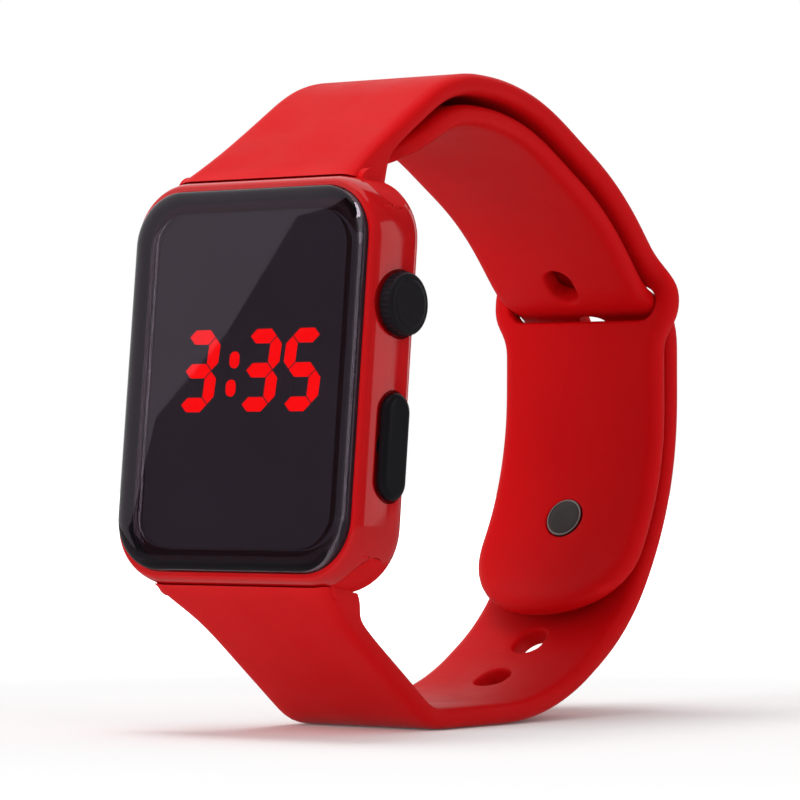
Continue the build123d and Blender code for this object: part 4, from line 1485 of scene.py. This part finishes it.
def offset_ring(ring: np.ndarray, amount: float) -> np.ndarray:
    """Moves a closed anticlockwise ring outwards.

    Args:
        ring: Its points.
        amount: How far, negative for inwards.

    Returns:
        The moved points.
    """
    way = np.roll(ring, -1, axis=0) - np.roll(ring, 1, axis=0)
    way /= np.linalg.norm(way, axis=1)[:, None]
    return ring + amount * np.stack((way[:, 1], -way[:, 0]), axis=1)


def ring_distance(points: np.ndarray, ring: np.ndarray, closed: bool = True) -> np.ndarray:
    """Gives each point's distance to a line of segments.

    Args:
        points: The points.
        ring: The line's points.
        closed: Whether its end joins its start.

    Returns:
        The distances.
    """
    a = ring if closed else ring[:-1]
    b = np.roll(ring, -1, axis=0) if closed else ring[1:]
    best = np.full(len(points), 1e9)
    for p, q in zip(a, b):
        d = q - p
        t = np.clip(((points - p) @ d) / max(float(d @ d), 1e-12), 0.0, 1.0)
        best = np.minimum(best, np.linalg.norm(points - p - t[:, None] * d, axis=1))
    return best


def inside_ring(points: np.ndarray, ring: np.ndarray) -> np.ndarray:
    """Says which points lie inside a closed ring.

    Args:
        points: The points.
        ring: The ring.

    Returns:
        True for each point inside.
    """
    found = np.zeros(len(points), bool)
    for p, q in zip(ring, np.roll(ring, -1, axis=0)):
        if p[1] == q[1]:
            continue
        spans = (p[1] > points[:, 1]) != (q[1] > points[:, 1])
        x = (q[0] - p[0]) * (points[:, 1] - p[1]) / (q[1] - p[1]) + p[0]
        found ^= spans & (points[:, 0] < x)
    return found


@dataclass
class Strap:
    """A moulded silicone strap: a flat pattern with soft edges, bent along its run."""

    dial: DialFrame
    run: RunLine
    clock: int
    thickness: float = 2.4
    edge_width: float = 1.5
    edge_drop: float = 0.95
    lug_half: float = 12.6
    lug_back: float = 8.4
    lug_blend: float = 8.2
    lug_settle: float = 14.0
    lug_lip: float = 0.3
    lug_ease: float = 6.0
    heel_floor: float = 1.5
    heel_ceiling: float = 3.0
    heel_soft: float = 0.12
    end_gap: float = 0.06
    case_half: tuple[float, float, float] = (17.0, 22.2, 7.0)
    case_round: tuple[float, float, float] = (1.2, 5.5, -0.5)
    bead_inset: float = 1.45
    bead_z: float = -4.7
    bead_radius: float = 2.2
    bead_gap: float = 0.02
    grid: float = 1.25
    grid_ratio: float = 1.15
    grid_shift: float = 0.3
    clear: float = 0.4
    lip_clear: float = 0.5
    end_margin: float = 2.0
    end_step: float = 0.8
    steps: int = 170
    insets: tuple[float, ...] = (0.0, 0.08, 0.25, 0.5, 0.8, 1.15, 1.5)
    lip_shares: tuple[float, ...] = (0.0, 0.3, 0.65, 1.0)
    border_share: float = 0.45
    sharp_deg: float = 60.0
    name: str = "strap"
    node: str = "strap"

    def case_end(self, x: np.ndarray, back: float = 0.0) -> np.ndarray:
        """Gives how far the case's end reaches on the dial at each width.

        Args:
            x: The widths.
            back: How far the case has drawn back there.

        Returns:
            The distances from the dial's middle.
        """
        half_x, half_y, corner = self.case_half
        over = np.clip(np.abs(x) - (half_x - corner), 0.0, corner - back)
        return half_y - corner + np.sqrt((corner - back) ** 2 - over ** 2)

    def _surfaces(self, pattern: np.ndarray) -> tuple[np.ndarray, np.ndarray]:
        """Gives the outer and the inner surface over the flat pattern.

        Args:
            pattern: Rows of distance along the strap and X.

        Returns:
            Outer and inner points, as rows of Y and Z.
        """
        s, x = pattern[:, 0], pattern[:, 1]
        half_y = self.case_half[1]
        heel = np.array(self.dial.across(self.clock * (half_y + self.end_gap), -self.lug_back))
        first, normal = self.run.at(np.zeros(1))
        exit_point = first[0] + normal[0] * self.thickness / 2
        along = self.run.along[0]
        heel_s = float((heel - exit_point) @ along)
        heel_depth = float((exit_point - heel) @ normal[0])
        up = np.array(self.dial.across(self.clock, 0.0)) - np.array(
            self.dial.across(0.0, 0.0))
        slack = half_y - self.case_end(x) - self.end_gap
        ease = np.clip(1 - s / self.lug_ease, 0.0, 1.0)
        outer_s = s - ease * (slack + self.lug_lip) / abs(float(along @ up))
        point, side = self.run.at(outer_s)
        outer = point + side * self.thickness / 2
        settle_s = self.lug_settle
        share = np.clip(s / settle_s, 0.0, 1.0)
        slope = (settle_s - heel_s) / settle_s
        inner_s = heel_s + settle_s * (
            slope * share + (1 - slope) * (share ** 3 - share ** 2) / 2)
        inner_s = np.where(s >= settle_s, s, inner_s)
        back = heel - exit_point - (self.lug_blend * along - self.thickness * normal[0])
        back /= np.linalg.norm(back)
        inner_s = inner_s - ease * slack / abs(float(back @ up)) * abs(float(back @ along))
        point, side = self.run.at(inner_s)
        rise = heel_depth - self.thickness
        floor = self.heel_floor
        fall = np.clip((self.lug_blend - inner_s) / (self.lug_blend - heel_s),
                       -floor, self.heel_ceiling)
        soft = (fall + np.sqrt(fall ** 2 + self.heel_soft)) / 2
        rest = (math.sqrt(floor ** 2 + self.heel_soft) - floor) / 2
        soft -= rest * np.clip(-fall / floor, 0.0, 1.0)
        depth = self.thickness / 2 + rise * np.where(fall <= -floor, 0.0, soft)
        return outer, point - side * depth[:, None]

    def _half_at(self, s: float) -> float:
        """Gives the strap's half width at a distance along it."""
        raise NotImplementedError

    def _tip(self) -> tuple[int, float, Point2, Point2]:
        """Gives the tip's axis, where the search for it starts, and its curve's ends."""
        raise NotImplementedError

    def _openings(self) -> list[Opening]:
        """Gives the slots, holes and recesses of the flat pattern."""
        raise NotImplementedError

    def _outline(self) -> np.ndarray:
        """Gives the whole pattern's outline without its end at the case."""
        axis, after, start, end = self._tip()
        reach = self.run.reach_of(start[1], axis, after)
        line = [(s, self._half_at(s)) for s in np.linspace(0.0, reach, self.steps)[:-1]]
        line += [(self.run.reach_of(at, axis, after), x) for x, at in round_tip(start, end)]
        right = np.array(line)
        left = right[::-1].copy()
        left[:, 1] *= -1
        return np.concatenate((right, left[1:]))

    def _moved(self, line: np.ndarray, amount: float) -> np.ndarray:
        """Moves the outline inwards, with its two ends kept at the case."""
        way = np.gradient(line, axis=0)
        way /= np.linalg.norm(way, axis=1)[:, None]
        moved = line + amount * np.stack((way[:, 1], -way[:, 0]), axis=1)
        moved[0, 0] = moved[-1, 0] = 0.0
        return moved

    def _skin(self) -> Shape:
        """Builds the strap's body from its flat pattern."""
        outline = self._outline()
        openings = self._openings()
        rings = [self._moved(outline, d) for d in self.insets]
        points = list(rings[0])
        edges = [(i, i + 1) for i in range(len(outline) - 1)]
        edges.append((len(outline) - 1, 0))
        for ring in rings[1:]:
            base = len(points)
            points.extend(ring)
            edges.extend((base + i, base + i + 1) for i in range(len(ring) - 1))
        for opening in openings:
            for share in self.lip_shares:
                ring = opening.grown(opening.lip * share)
                base = len(points)
                points.extend(ring)
                edges.extend((base + i, base + (i + 1) % len(ring)) for i in range(len(ring)))
        low, high = outline.min(0), outline.max(0)
        rows = np.arange(self.grid, high[0], self.grid)
        columns = np.arange(low[1], high[1] + 0.01, self.grid * self.grid_ratio)
        columns -= columns.mean()
        mesh = np.array([(s, x + (self.grid_shift * self.grid if k % 2 else 0.0))
                         for k, s in enumerate(rows) for x in columns])
        keep = inside_ring(mesh, outline) & (
            ring_distance(mesh, outline, closed=False) > self.edge_width + self.clear)
        for opening in openings:
            far = ring_distance(mesh, opening.outline) > opening.lip + self.lip_clear
            if opening.through:
                far &= ~inside_ring(mesh, opening.outline)
            keep &= far
        points.extend(mesh[keep])
        margin = self.lug_half - self.end_margin
        points.extend(np.array((0.0, x)) for x in np.arange(
            -margin, margin + 0.1, self.end_step))
        flat, _, triangles, _, _, _ = delaunay_2d_cdt(
            [Vector(p) for p in points], edges, [], 0, 1e-4, True)
        flat = np.array([(p.x, p.y) for p in flat])
        triangles = np.array([t for t in triangles if len(t) == 3])
        centre = flat[triangles].mean(axis=1)
        good = inside_ring(centre, outline)
        for opening in openings:
            if opening.through:
                good &= ~inside_ring(centre, opening.outline)
        triangles = triangles[good]
        a, b, c = flat[triangles[:, 0]], flat[triangles[:, 1]], flat[triangles[:, 2]]
        area = (b[:, 0] - a[:, 0]) * (c[:, 1] - a[:, 1]) - (b[:, 1] - a[:, 1]) * (
            c[:, 0] - a[:, 0])
        triangles = triangles[np.abs(area) > 1e-9]
        area = area[np.abs(area) > 1e-9]
        triangles[area < 0] = triangles[area < 0][:, ::-1]
        return self._thicken(flat, triangles, outline, openings)

    def _thicken(self, flat: np.ndarray, triangles: np.ndarray, outline: np.ndarray,
                 openings: list[Opening]) -> Shape:
        """Lifts the flat mesh to both surfaces and joins their borders.

        Args:
            flat: The pattern's points.
            triangles: Its triangles, anticlockwise.
            outline: The pattern's outline.
            openings: Its openings.

        Returns:
            The closed skin.
        """
        outer, inner = self._surfaces(flat)
        thick = np.linalg.norm(outer - inner, axis=1)
        way = (inner - outer) / thick[:, None]
        near = ring_distance(flat, outline, closed=False)
        t = np.clip(1 - near / self.edge_width, 0.0, 1.0)
        drop = self.edge_drop * (1 - np.sqrt(np.clip(1 - t ** 2, 0.0, 1.0)))
        sunk = np.zeros(len(flat))
        for opening in openings:
            near = ring_distance(flat, opening.outline)
            t = np.clip(1 - near / opening.lip, 0.0, 1.0)
            lip = opening.lip * (1 - np.sqrt(np.clip(1 - t ** 2, 0.0, 1.0)))
            if opening.through:
                drop = np.maximum(drop, lip)
            else:
                within = inside_ring(flat, offset_ring(opening.outline, 1e-3))
                sunk = np.where(within, opening.depth, np.maximum(sunk, np.where(
                    within, 0.0, lip)))
        drop = np.minimum(drop, self.border_share * thick)
        top = outer + way * drop[:, None]
        low = inner - way * (drop + sunk)[:, None]
        count = len(flat)
        points = [(x, *p) for side in (top, low) for x, p in zip(flat[:, 1], side)]
        faces = [tuple(t) for t in triangles]
        faces += [tuple(t + count)[::-1] for t in triangles]
        sides = dict.fromkeys((int(tri[i]), int(tri[(i + 1) % 3]))
                              for tri in triangles for i in range(3))
        faces += [(b, a, a + count, b + count) for a, b in sides if (b, a) not in sides]
        shape = Shape()
        shape.add(points, faces)
        return shape

    def _bead(self) -> Shape:
        """Builds the round bead in the case's groove, flush with the case's corners."""
        half_x, _, _ = self.case_half
        centre = self.case_half[1] - self.bead_inset
        ends = np.linspace(self.lug_half, half_x - 0.05, 40)
        spots = np.concatenate((-ends[::-1], [0.0], ends))
        rings = []
        angles = np.linspace(0, 2 * np.pi, 48, endpoint=False)
        for x in spots:
            reach = float(self.case_end(np.array([x]))[0])
            if abs(x) > self.lug_half and reach < centre - self.bead_radius + 2 * self.bead_gap:
                continue
            ring = []
            for a in angles:
                z = self.bead_z + self.bead_radius * math.sin(a)
                share = min(max(1 - (self.case_round[2] - z) / self.case_round[1], 0.0), 1.0)
                back = self.case_round[0] * (1 - math.sqrt(1 - share ** 2))
                y = centre + self.bead_radius * math.cos(a)
                if abs(x) > self.lug_half:
                    y = min(y, float(self.case_end(np.array([x]), back)[0]) - self.bead_gap)
                ring.append((float(x), self.clock * y, z))
            rings.append(ring)
        shape = Shape()
        shape.loft(rings)
        return shape

    def build(self) -> None:
        """Makes the strap with its bead and dresses it."""
        strap = self._skin().piece(self.name, Matrix.Identity(4), SILICONE, self.sharp_deg)
        bead = self._bead().piece(f"{self.name}_bead", self.dial.matrix(), SILICONE,
                                  self.sharp_deg)
        whole = bmesh.new()
        whole.from_mesh(strap.data)
        whole.from_mesh(bead.data)
        whole.to_mesh(strap.data)
        whole.free()
        bpy.data.objects.remove(bead)
        smooth(strap, self.sharp_deg)
        dress(strap, Body.WATCH, "red_silicone", self.node)


@dataclass
class PinStrap(Strap):
    """The strap from twelve o'clock with the slot that the other strap passes through."""

    name: str = "upper_strap"
    node: str = "pin_strap"
    half: float = 11.0
    crest_y: float = -4.317
    lug_y: float = -29.687
    taper_y: float = -16.324
    slot_half: float = 10.42
    slot_bottom: float = 45.95
    slot_top: float = 50.3
    slot_corner: float = 2.1
    flare_half: float = 12.9
    waist_half: float = 11.0
    flare_reach: float = 4.0
    pad_half: float = 11.15
    pad_height: float = 25.0
    tip_height: float = 11.9
    tip_reach: float = 7.5
    stud_at: float = 0.0
    disc_radius: float = 2.45
    disc_depth: float = 0.52
    disc_lip: float = 0.3
    slot_lip: float = 0.45

    def _half_at(self, s: float) -> float:
        """Gives the strap's half width at a distance along it."""
        (y, z), _ = (v[0] for v in self.run.at(np.array([s])))
        if y < self.crest_y:
            if y > self.taper_y:
                return self.half
            return s_bend((self.lug_half, self.lug_y), (self.half, self.taper_y), y)
        middle = (self.slot_bottom + self.slot_top) / 2
        steps = ((self.half, self.slot_top + self.flare_reach), (self.flare_half, middle),
                 (self.waist_half, self.slot_bottom - self.flare_reach),
                 (self.pad_half, self.pad_height))
        if z > steps[0][1]:
            return self.half
        for above, below in zip(steps, steps[1:]):
            if below[1] <= z <= above[1]:
                return s_bend(above, below, z)
        return self.pad_half

    def _tip(self) -> tuple[int, float, Point2, Point2]:
        """Gives the tip's height behind the crest, and its curve's ends."""
        return (1, self.run.reach_of(self.crest_y, 0),
                (self.pad_half, self.tip_height + self.tip_reach), (0.0, self.tip_height))

    def _openings(self) -> list[Opening]:
        """Gives the slot and the recess of the stud's disc."""
        back = self.run.reach_of(self.crest_y, 0)
        top = self.run.reach_of(self.slot_top, 1, back)
        low = self.run.reach_of(self.slot_bottom, 1, back)
        slot = np.array([(p[0] + (top + low) / 2, p[1]) for p in rounded_ring(
            (low - top) / 2, self.slot_half, self.slot_corner, 0.0, 8)])
        angles = np.linspace(0, 2 * np.pi, 44, endpoint=False)
        disc = np.stack((self.stud_at + self.disc_radius * np.cos(angles),
                         self.disc_radius * np.sin(angles)), axis=1)
        return [Opening(densify(slot, 1.0), self.slot_lip),
                Opening(disc, self.disc_lip, through=False, depth=self.disc_depth)]


@dataclass
class HoleStrap(Strap):
    """The strap from six o'clock with its row of holes and its tongue."""

    name: str = "lower_strap"
    node: str = "hole_strap"
    half: float = 10.3
    lug_half: float = 11.9
    lug_y: float = -29.687
    taper_y: float = -20.888
    tip_y: float = -13.317
    tip_reach: float = 8.0
    hole_length: float = 4.8
    hole_width: float = 3.6
    hole_pitch: float = 8.7
    stud_reach: float = 77.6
    hole_lip: float = 0.4
    holes_before: int = 3
    holes_after: int = 4
    top_height: float = 60.0
    lug_height: float = 30.0

    def _half_at(self, s: float) -> float:
        """Gives the strap's half width at a distance along it."""
        (y, z), _ = (v[0] for v in self.run.at(np.array([s])))
        if y < self.taper_y and z < self.lug_height:
            return s_bend((self.lug_half, self.lug_y), (self.half, self.taper_y), y)
        return self.half

    def _tip(self) -> tuple[int, float, Point2, Point2]:
        """Gives the tip's distance from the axis inside the band, and its curve's ends."""
        return (0, self.run.reach_of(self.top_height, 1),
                (self.half, self.tip_y + self.tip_reach), (0.0, self.tip_y))

    def _openings(self) -> list[Opening]:
        """Gives the row of long holes."""
        made = []
        for step in range(-self.holes_before, self.holes_after + 1):
            ring = np.array([(p[0] + self.stud_reach + step * self.hole_pitch, p[1])
                             for p in stadium_ring(self.hole_length, self.hole_width, 0.0, 14)])
            made.append(Opening(ring, self.hole_lip))
        return made


def densify(ring: np.ndarray, gap: float) -> np.ndarray:
    """Adds points on the long sides of a closed ring.

    Args:
        ring: The ring.
        gap: The longest step left.

    Returns:
        The denser ring.
    """
    made = []
    for p, q in zip(ring, np.roll(ring, -1, axis=0)):
        steps = max(1, math.ceil(float(np.linalg.norm(q - p)) / gap))
        made.extend(p + (q - p) * i / steps for i in range(steps))
    return np.array(made)


@dataclass
class Clasp:
    """The stud through both straps, with its head outside and its disc inside."""

    plane: Matrix
    head_radius: float = 2.9
    head_height: float = 1.1
    neck_radius: float = 1.6
    shank_radius: float = 1.2
    outer_face: float = 1.25
    pin_face: float = -2.65
    disc_back: float = -4.65
    disc_thickness: float = 0.5
    disc_radius: float = 2.35
    disc_inner: float = 2.05
    disc_dish: float = 0.06
    tip_radius: float = 0.75
    tip_reach: float = 0.25
    gap: float = 0.05
    steps: int = 72
    sharp_deg: float = 40.0

    def _head(self) -> Shape:
        """Gives the stud, turned, with a shallow dished head."""
        top = self.outer_face + self.head_height
        r = self.head_radius
        line = [(0.0, top - 0.12), (r * 0.45, top - 0.10), (r * 0.68, top - 0.02),
                (r * 0.76, top)]
        line += [(r - 0.6 * (1 - sine), top - 0.7 * (1 - cosine))
                 for sine, cosine in quarter(8)]
        line += [(r, self.outer_face + 0.12), (r - 0.12, self.outer_face),
                 (self.neck_radius, self.outer_face), (self.neck_radius, self.pin_face),
                 (self.shank_radius, self.pin_face), (self.shank_radius, self.disc_back),
                 (self.tip_radius, self.disc_back),
                 (self.tip_radius, self.disc_back - self.tip_reach),
                 (0.0, self.disc_back - self.tip_reach)]
        shape = Shape()
        shape.turn(line, self.steps)
        return shape

    def _disc(self) -> Shape:
        """Gives the dark disc inside its rim."""
        low = self.disc_back - self.disc_thickness
        r, gap, top = self.disc_inner, self.gap, self.disc_back - self.gap
        hole, sink = self.tip_radius + gap, self.disc_back - self.tip_reach - gap
        shape = Shape()
        shape.turn([(hole, top), (r, top), (r, low + gap),
                    (r - gap, low + self.disc_dish * 0.6), (r * 0.6, low + self.disc_dish),
                    (r * 0.3, low + self.disc_dish * 1.1),
                    (0.0, low + self.disc_dish * 1.1)], self.steps)
        shape.turn([(0.0, sink), (hole, sink), (hole, top)], self.steps)
        return shape

    def _rim(self) -> Shape:
        """Gives the thin grey rim round the disc."""
        low = self.disc_back - self.disc_thickness
        a, b = self.disc_inner, self.disc_radius
        shape = Shape()
        shape.turn([(a, self.disc_back), (a, low + 0.07), (a + 0.05, low + 0.02),
                    (a + 0.11, low), (b - 0.11, low), (b - 0.03, low + 0.04),
                    (b, low + 0.12), (b, self.disc_back), (a, self.disc_back)], self.steps)
        return shape

    def build(self) -> None:
        """Makes and dresses the stud, the disc and its rim."""
        for name, shape, finish, slot, nodes in (
                ("clasp_stud", self._head(), STUD_STEEL, "stud_steel", ["closure_stud"]),
                ("clasp_disc", self._disc(), STUD_DARK, "disc_plastic", ["stud_disc"]),
                ("clasp_rim", self._rim(), RIM_STEEL, "stud_steel", [])):
            piece = shape.piece(name, self.plane, finish, self.sharp_deg)
            dress(piece, Body.WATCH, slot, *nodes)


@dataclass
class Works:
    """The back cover and everything inside the case, kept from the frame."""

    def build(self) -> None:
        """Dresses the nodes."""
        for name, finish in (
                ("back_cover", COVER_BLACK), ("back_gasket", SEAL_RUBBER),
                ("back_screws", SCREW_STEEL), ("circuit_board", BOARD_GREEN),
                ("led_chips", LED_RESIN), ("driver_chip", CHIP_RESIN),
                ("quartz_crystal", CAN_STEEL), ("crown_switch", SWITCH_RESIN),
                ("button_switch", SWITCH_RESIN), ("battery_holder", HOLDER_GREY),
                ("coin_battery", CELL_METAL), ("negative_contact", CONTACT_GOLD),
                ("battery_strip", CONTACT_GOLD)):
            cover_node(name, finish)


@dataclass
class Studio:
    """The white floor, the lights, the reflection cards and the camera."""

    floor_half: float = 3.0
    floor_albedo: float = 0.9
    floor_roughness: float = 0.9
    floor_glow: tuple[float, float] = (0.05, 1.0)
    glow_reach: tuple[float, float] = (0.09, 0.30)
    fill: float = 0.54
    eye: tuple[float, float, float] = (0.27727, -0.37089, 0.02879)
    eye_pitch_rad: float = math.pi / 2 + 0.0160862
    eye_yaw_rad: float = 0.642011
    focal_length: float = 186.31
    sensor: float = 36.0
    centre: tuple[float, float, float] = (0.0, 0.0, 0.038)
    card_radius: float = 1.6
    card_step: float = 4.0
    card_border: float = 1.0
    floor_cells: int = 8
    floor_drop: float = 2e-5

    def _seen_directly(self, tree: bpy.types.NodeTree) -> bpy.types.NodeSocket:
        """Adds the test for rays from the camera, a reflection or a clear piece."""
        path = tree.nodes.new("ShaderNodeLightPath")
        seen = path.outputs["Is Camera Ray"]
        for other in ("Is Glossy Ray", "Is Transmission Ray"):
            seen = reckon(tree, "MAXIMUM", seen, path.outputs[other]).outputs[0]
        return seen

    def _world(self) -> None:
        """Makes the white surroundings, which light the object more softly than they look."""
        world = bpy.data.worlds.new("studio")
        bpy.context.scene.world = world
        world.use_nodes = True
        tree = world.node_tree
        level = tree.nodes.new("ShaderNodeMapRange")
        feed(tree, level, {"Value": self._seen_directly(tree), "To Min": self.fill,
                           "To Max": 1.0})
        feed(tree, tree.nodes["Background"], {"Color": (1.0, 1.0, 1.0, 1.0),
                                              "Strength": level.outputs["Result"]})

    def _floor(self) -> None:
        """Makes the pale floor that keeps the object's shadow and glows white far off."""
        material = bpy.data.materials.new("studio floor")
        material.use_nodes = True
        tree = material.node_tree
        place = tree.nodes.new("ShaderNodeTexCoord")
        far = reckon(tree, "LENGTH", place.outputs["Object"], kind="ShaderNodeVectorMath")
        level = tree.nodes.new("ShaderNodeMapRange")
        level.interpolation_type = "SMOOTHSTEP"
        feed(tree, level, {
            "Value": far.outputs["Value"], "From Min": self.glow_reach[0],
            "From Max": self.glow_reach[1], "To Min": self.floor_glow[0],
            "To Max": self.floor_glow[1]})
        glow = reckon(tree, "MULTIPLY", self._seen_directly(tree), level.outputs["Result"])
        feed(tree, tree.nodes["Principled BSDF"], {
            "Base Color": (*[self.floor_albedo] * 3, 1.0), "Roughness": self.floor_roughness,
            "Specular IOR Level": 0.0, "Emission Color": (1.0, 1.0, 1.0, 1.0),
            "Emission Strength": glow.outputs[0]})
        half, count = self.floor_half, self.floor_cells
        mesh = bpy.data.meshes.new("floor")
        points = [(half * (2 * i / count - 1), half * (2 * j / count - 1), -self.floor_drop)
                  for j in range(count + 1) for i in range(count + 1)]
        row = count + 1
        faces = [(first, first + 1, first + row + 1, first + row)
                 for first in (j * row + i for j in range(count) for i in range(count))]
        mesh.from_pydata(points, [], faces)
        mesh.materials.append(material)
        add_object("floor", mesh)

    @staticmethod
    def _toward(azimuth: float, elevation: float) -> Vector:
        """Gives a direction from its azimuth and elevation in degrees."""
        a, e = math.radians(azimuth), math.radians(elevation)
        return Vector((math.cos(a) * math.cos(e), math.sin(a) * math.cos(e), math.sin(e)))

    def _softbox(self, name: str, azimuth: float, elevation: float, distance: float,
                 size: float, power: float) -> None:
        """Adds a large soft lamp that faces the watch.

        Args:
            name: Its name.
            azimuth: Its direction from +X towards +Y, in degrees.
            elevation: Its height above the horizon, in degrees.
            distance: Its distance in metres.
            size: Its side in metres.
            power: Its power in watts.
        """
        lamp = bpy.data.lights.new(name, "AREA")
        lamp.shape = "SQUARE"
        lamp.size = size
        lamp.energy = power
        made = add_object(name, lamp)
        way = self._toward(azimuth, elevation)
        made.location = Vector(self.centre) + way * distance
        made.rotation_euler = way.to_track_quat("Z", "Y").to_euler()
        made.visible_camera = False
        made.visible_glossy = False

    def _card(self, name: str, outline: Sequence[Point2], level: float) -> None:
        """Adds a grey card that only reflections see.

        Args:
            name: Its name.
            outline: Its corners as azimuth and elevation seen from the watch, in degrees.
            level: Its brightness.
        """
        step = self.card_step
        ring = densify(np.array(outline, float), step)
        low, high = ring.min(0) + step / 2, ring.max(0)
        grid = np.array([(a, e) for a in np.arange(low[0], high[0], step)
                         for e in np.arange(low[1], high[1], step)])
        grid = grid[inside_ring(grid, ring) & (ring_distance(grid, ring) > self.card_border)]
        points = [*ring, *grid]
        edges = [(i, (i + 1) % len(ring)) for i in range(len(ring))]
        flat, _, faces, _, _, _ = delaunay_2d_cdt(
            [Vector(p) for p in points], edges, [], 0, 1e-4, True)
        centres = np.array([np.mean([(flat[i].x, flat[i].y) for i in f], axis=0)
                            for f in faces])
        within = inside_ring(centres, ring)
        bent = [Vector(self.centre) + self.card_radius * self._toward(*p) for p in flat]
        self._sheet(name, bent, [tuple(f) for f, w in zip(faces, within) if w], level)

    @staticmethod
    def _sheet(name: str, points: Sequence[Sequence[float]],
               faces: Sequence[Sequence[int]], level: float) -> None:
        """Adds a grey sheet that only reflections see.

        Args:
            name: Its name.
            points: Its points in metres.
            faces: Its faces.
            level: Its brightness.
        """
        material = bpy.data.materials.new(name)
        material.use_nodes = True
        tree = material.node_tree
        tree.nodes.clear()
        glow = tree.nodes.new("ShaderNodeEmission")
        glow.inputs["Color"].default_value = (level, level, level, 1.0)
        put = tree.nodes.new("ShaderNodeOutputMaterial")
        tree.links.new(glow.outputs[0], put.inputs["Surface"])
        mesh = bpy.data.meshes.new(name)
        mesh.from_pydata(points, [], faces)
        mesh.materials.append(material)
        card = add_object(name, mesh)
        for kind in ("camera", "diffuse", "transmission", "volume_scatter", "shadow"):
            setattr(card, f"visible_{kind}", False)

    def _camera(self) -> None:
        """Places the camera as the picture was taken."""
        data = bpy.data.cameras.new("camera")
        data.sensor_width = self.sensor
        data.lens = self.focal_length
        data.clip_start = 0.01
        camera = add_object("camera", data)
        camera.location = self.eye
        camera.rotation_euler = (self.eye_pitch_rad, 0.0, self.eye_yaw_rad)
        bpy.context.scene.camera = camera

    def build(self) -> None:
        """Makes the whole studio."""
        bpy.context.scene.view_settings.view_transform = "Standard"
        self._world()
        self._floor()
        self._softbox("key", 200.0, 82.0, 1.4, 0.7, 8.3)
        self._softbox("front", -105.0, 14.0, 1.4, 0.5, 7.6)
        self._softbox("side", -20.0, 30.0, 1.4, 0.7, 1.8)
        self._card("front card", ((-144.1, -12), (20, -12), (20, 62), (-97.1, 62)), 0.10)
        self._card("corner card", ((20, 24), (46, 24), (46, 70), (20, 70)), 0.10)
        self._card("side card", ((46, -12), (80, -12), (80, 70), (46, 70)), 0.05)
        half, low = self.card_radius, -self.floor_drop / 2
        self._sheet("floor card", [(-half, -half, low), (half, -half, low),
                                   (half, half, low), (-half, half, low)],
                    [(0, 1, 2, 3)], 0.30)
        self._camera()


def main() -> None:
    """Builds the watch and its studio."""
    logging.basicConfig(level=logging.INFO, format="%(name)s %(message)s")
    dial = DialFrame()
    Studio().build()
    WatchCase(dial).build()
    FrontLens(dial).build()
    Display().build()
    Crown(dial).build()
    SideButton(dial).build()
    loop = BandLoop(dial)
    hole_run, pin_run = loop.hole_line(), loop.pin_line()
    place, outward = loop.hole_line(even=False).at(np.array([HoleStrap.stud_reach]))
    out = Vector((0.0, float(outward[0, 0]), float(outward[0, 1])))
    turn = Matrix((Vector((1.0, 0.0, 0.0)), out.cross(Vector((1.0, 0.0, 0.0))), out))
    stud = Matrix.Translation((0.0, float(place[0, 0]), float(place[0, 1]))) @ (
        turn.transposed().to_4x4())
    depth = loop.thickness + loop.pad_gap
    near = np.linalg.norm(pin_run.points - (place[0] - outward[0] * depth), axis=1)
    PinStrap(dial, pin_run, 1, stud_at=float(pin_run.lengths[int(np.argmin(near))])).build()
    HoleStrap(dial, hole_run, -1).build()
    Clasp(stud).build()
    Works().build()


if __name__ == "__main__":
    main()
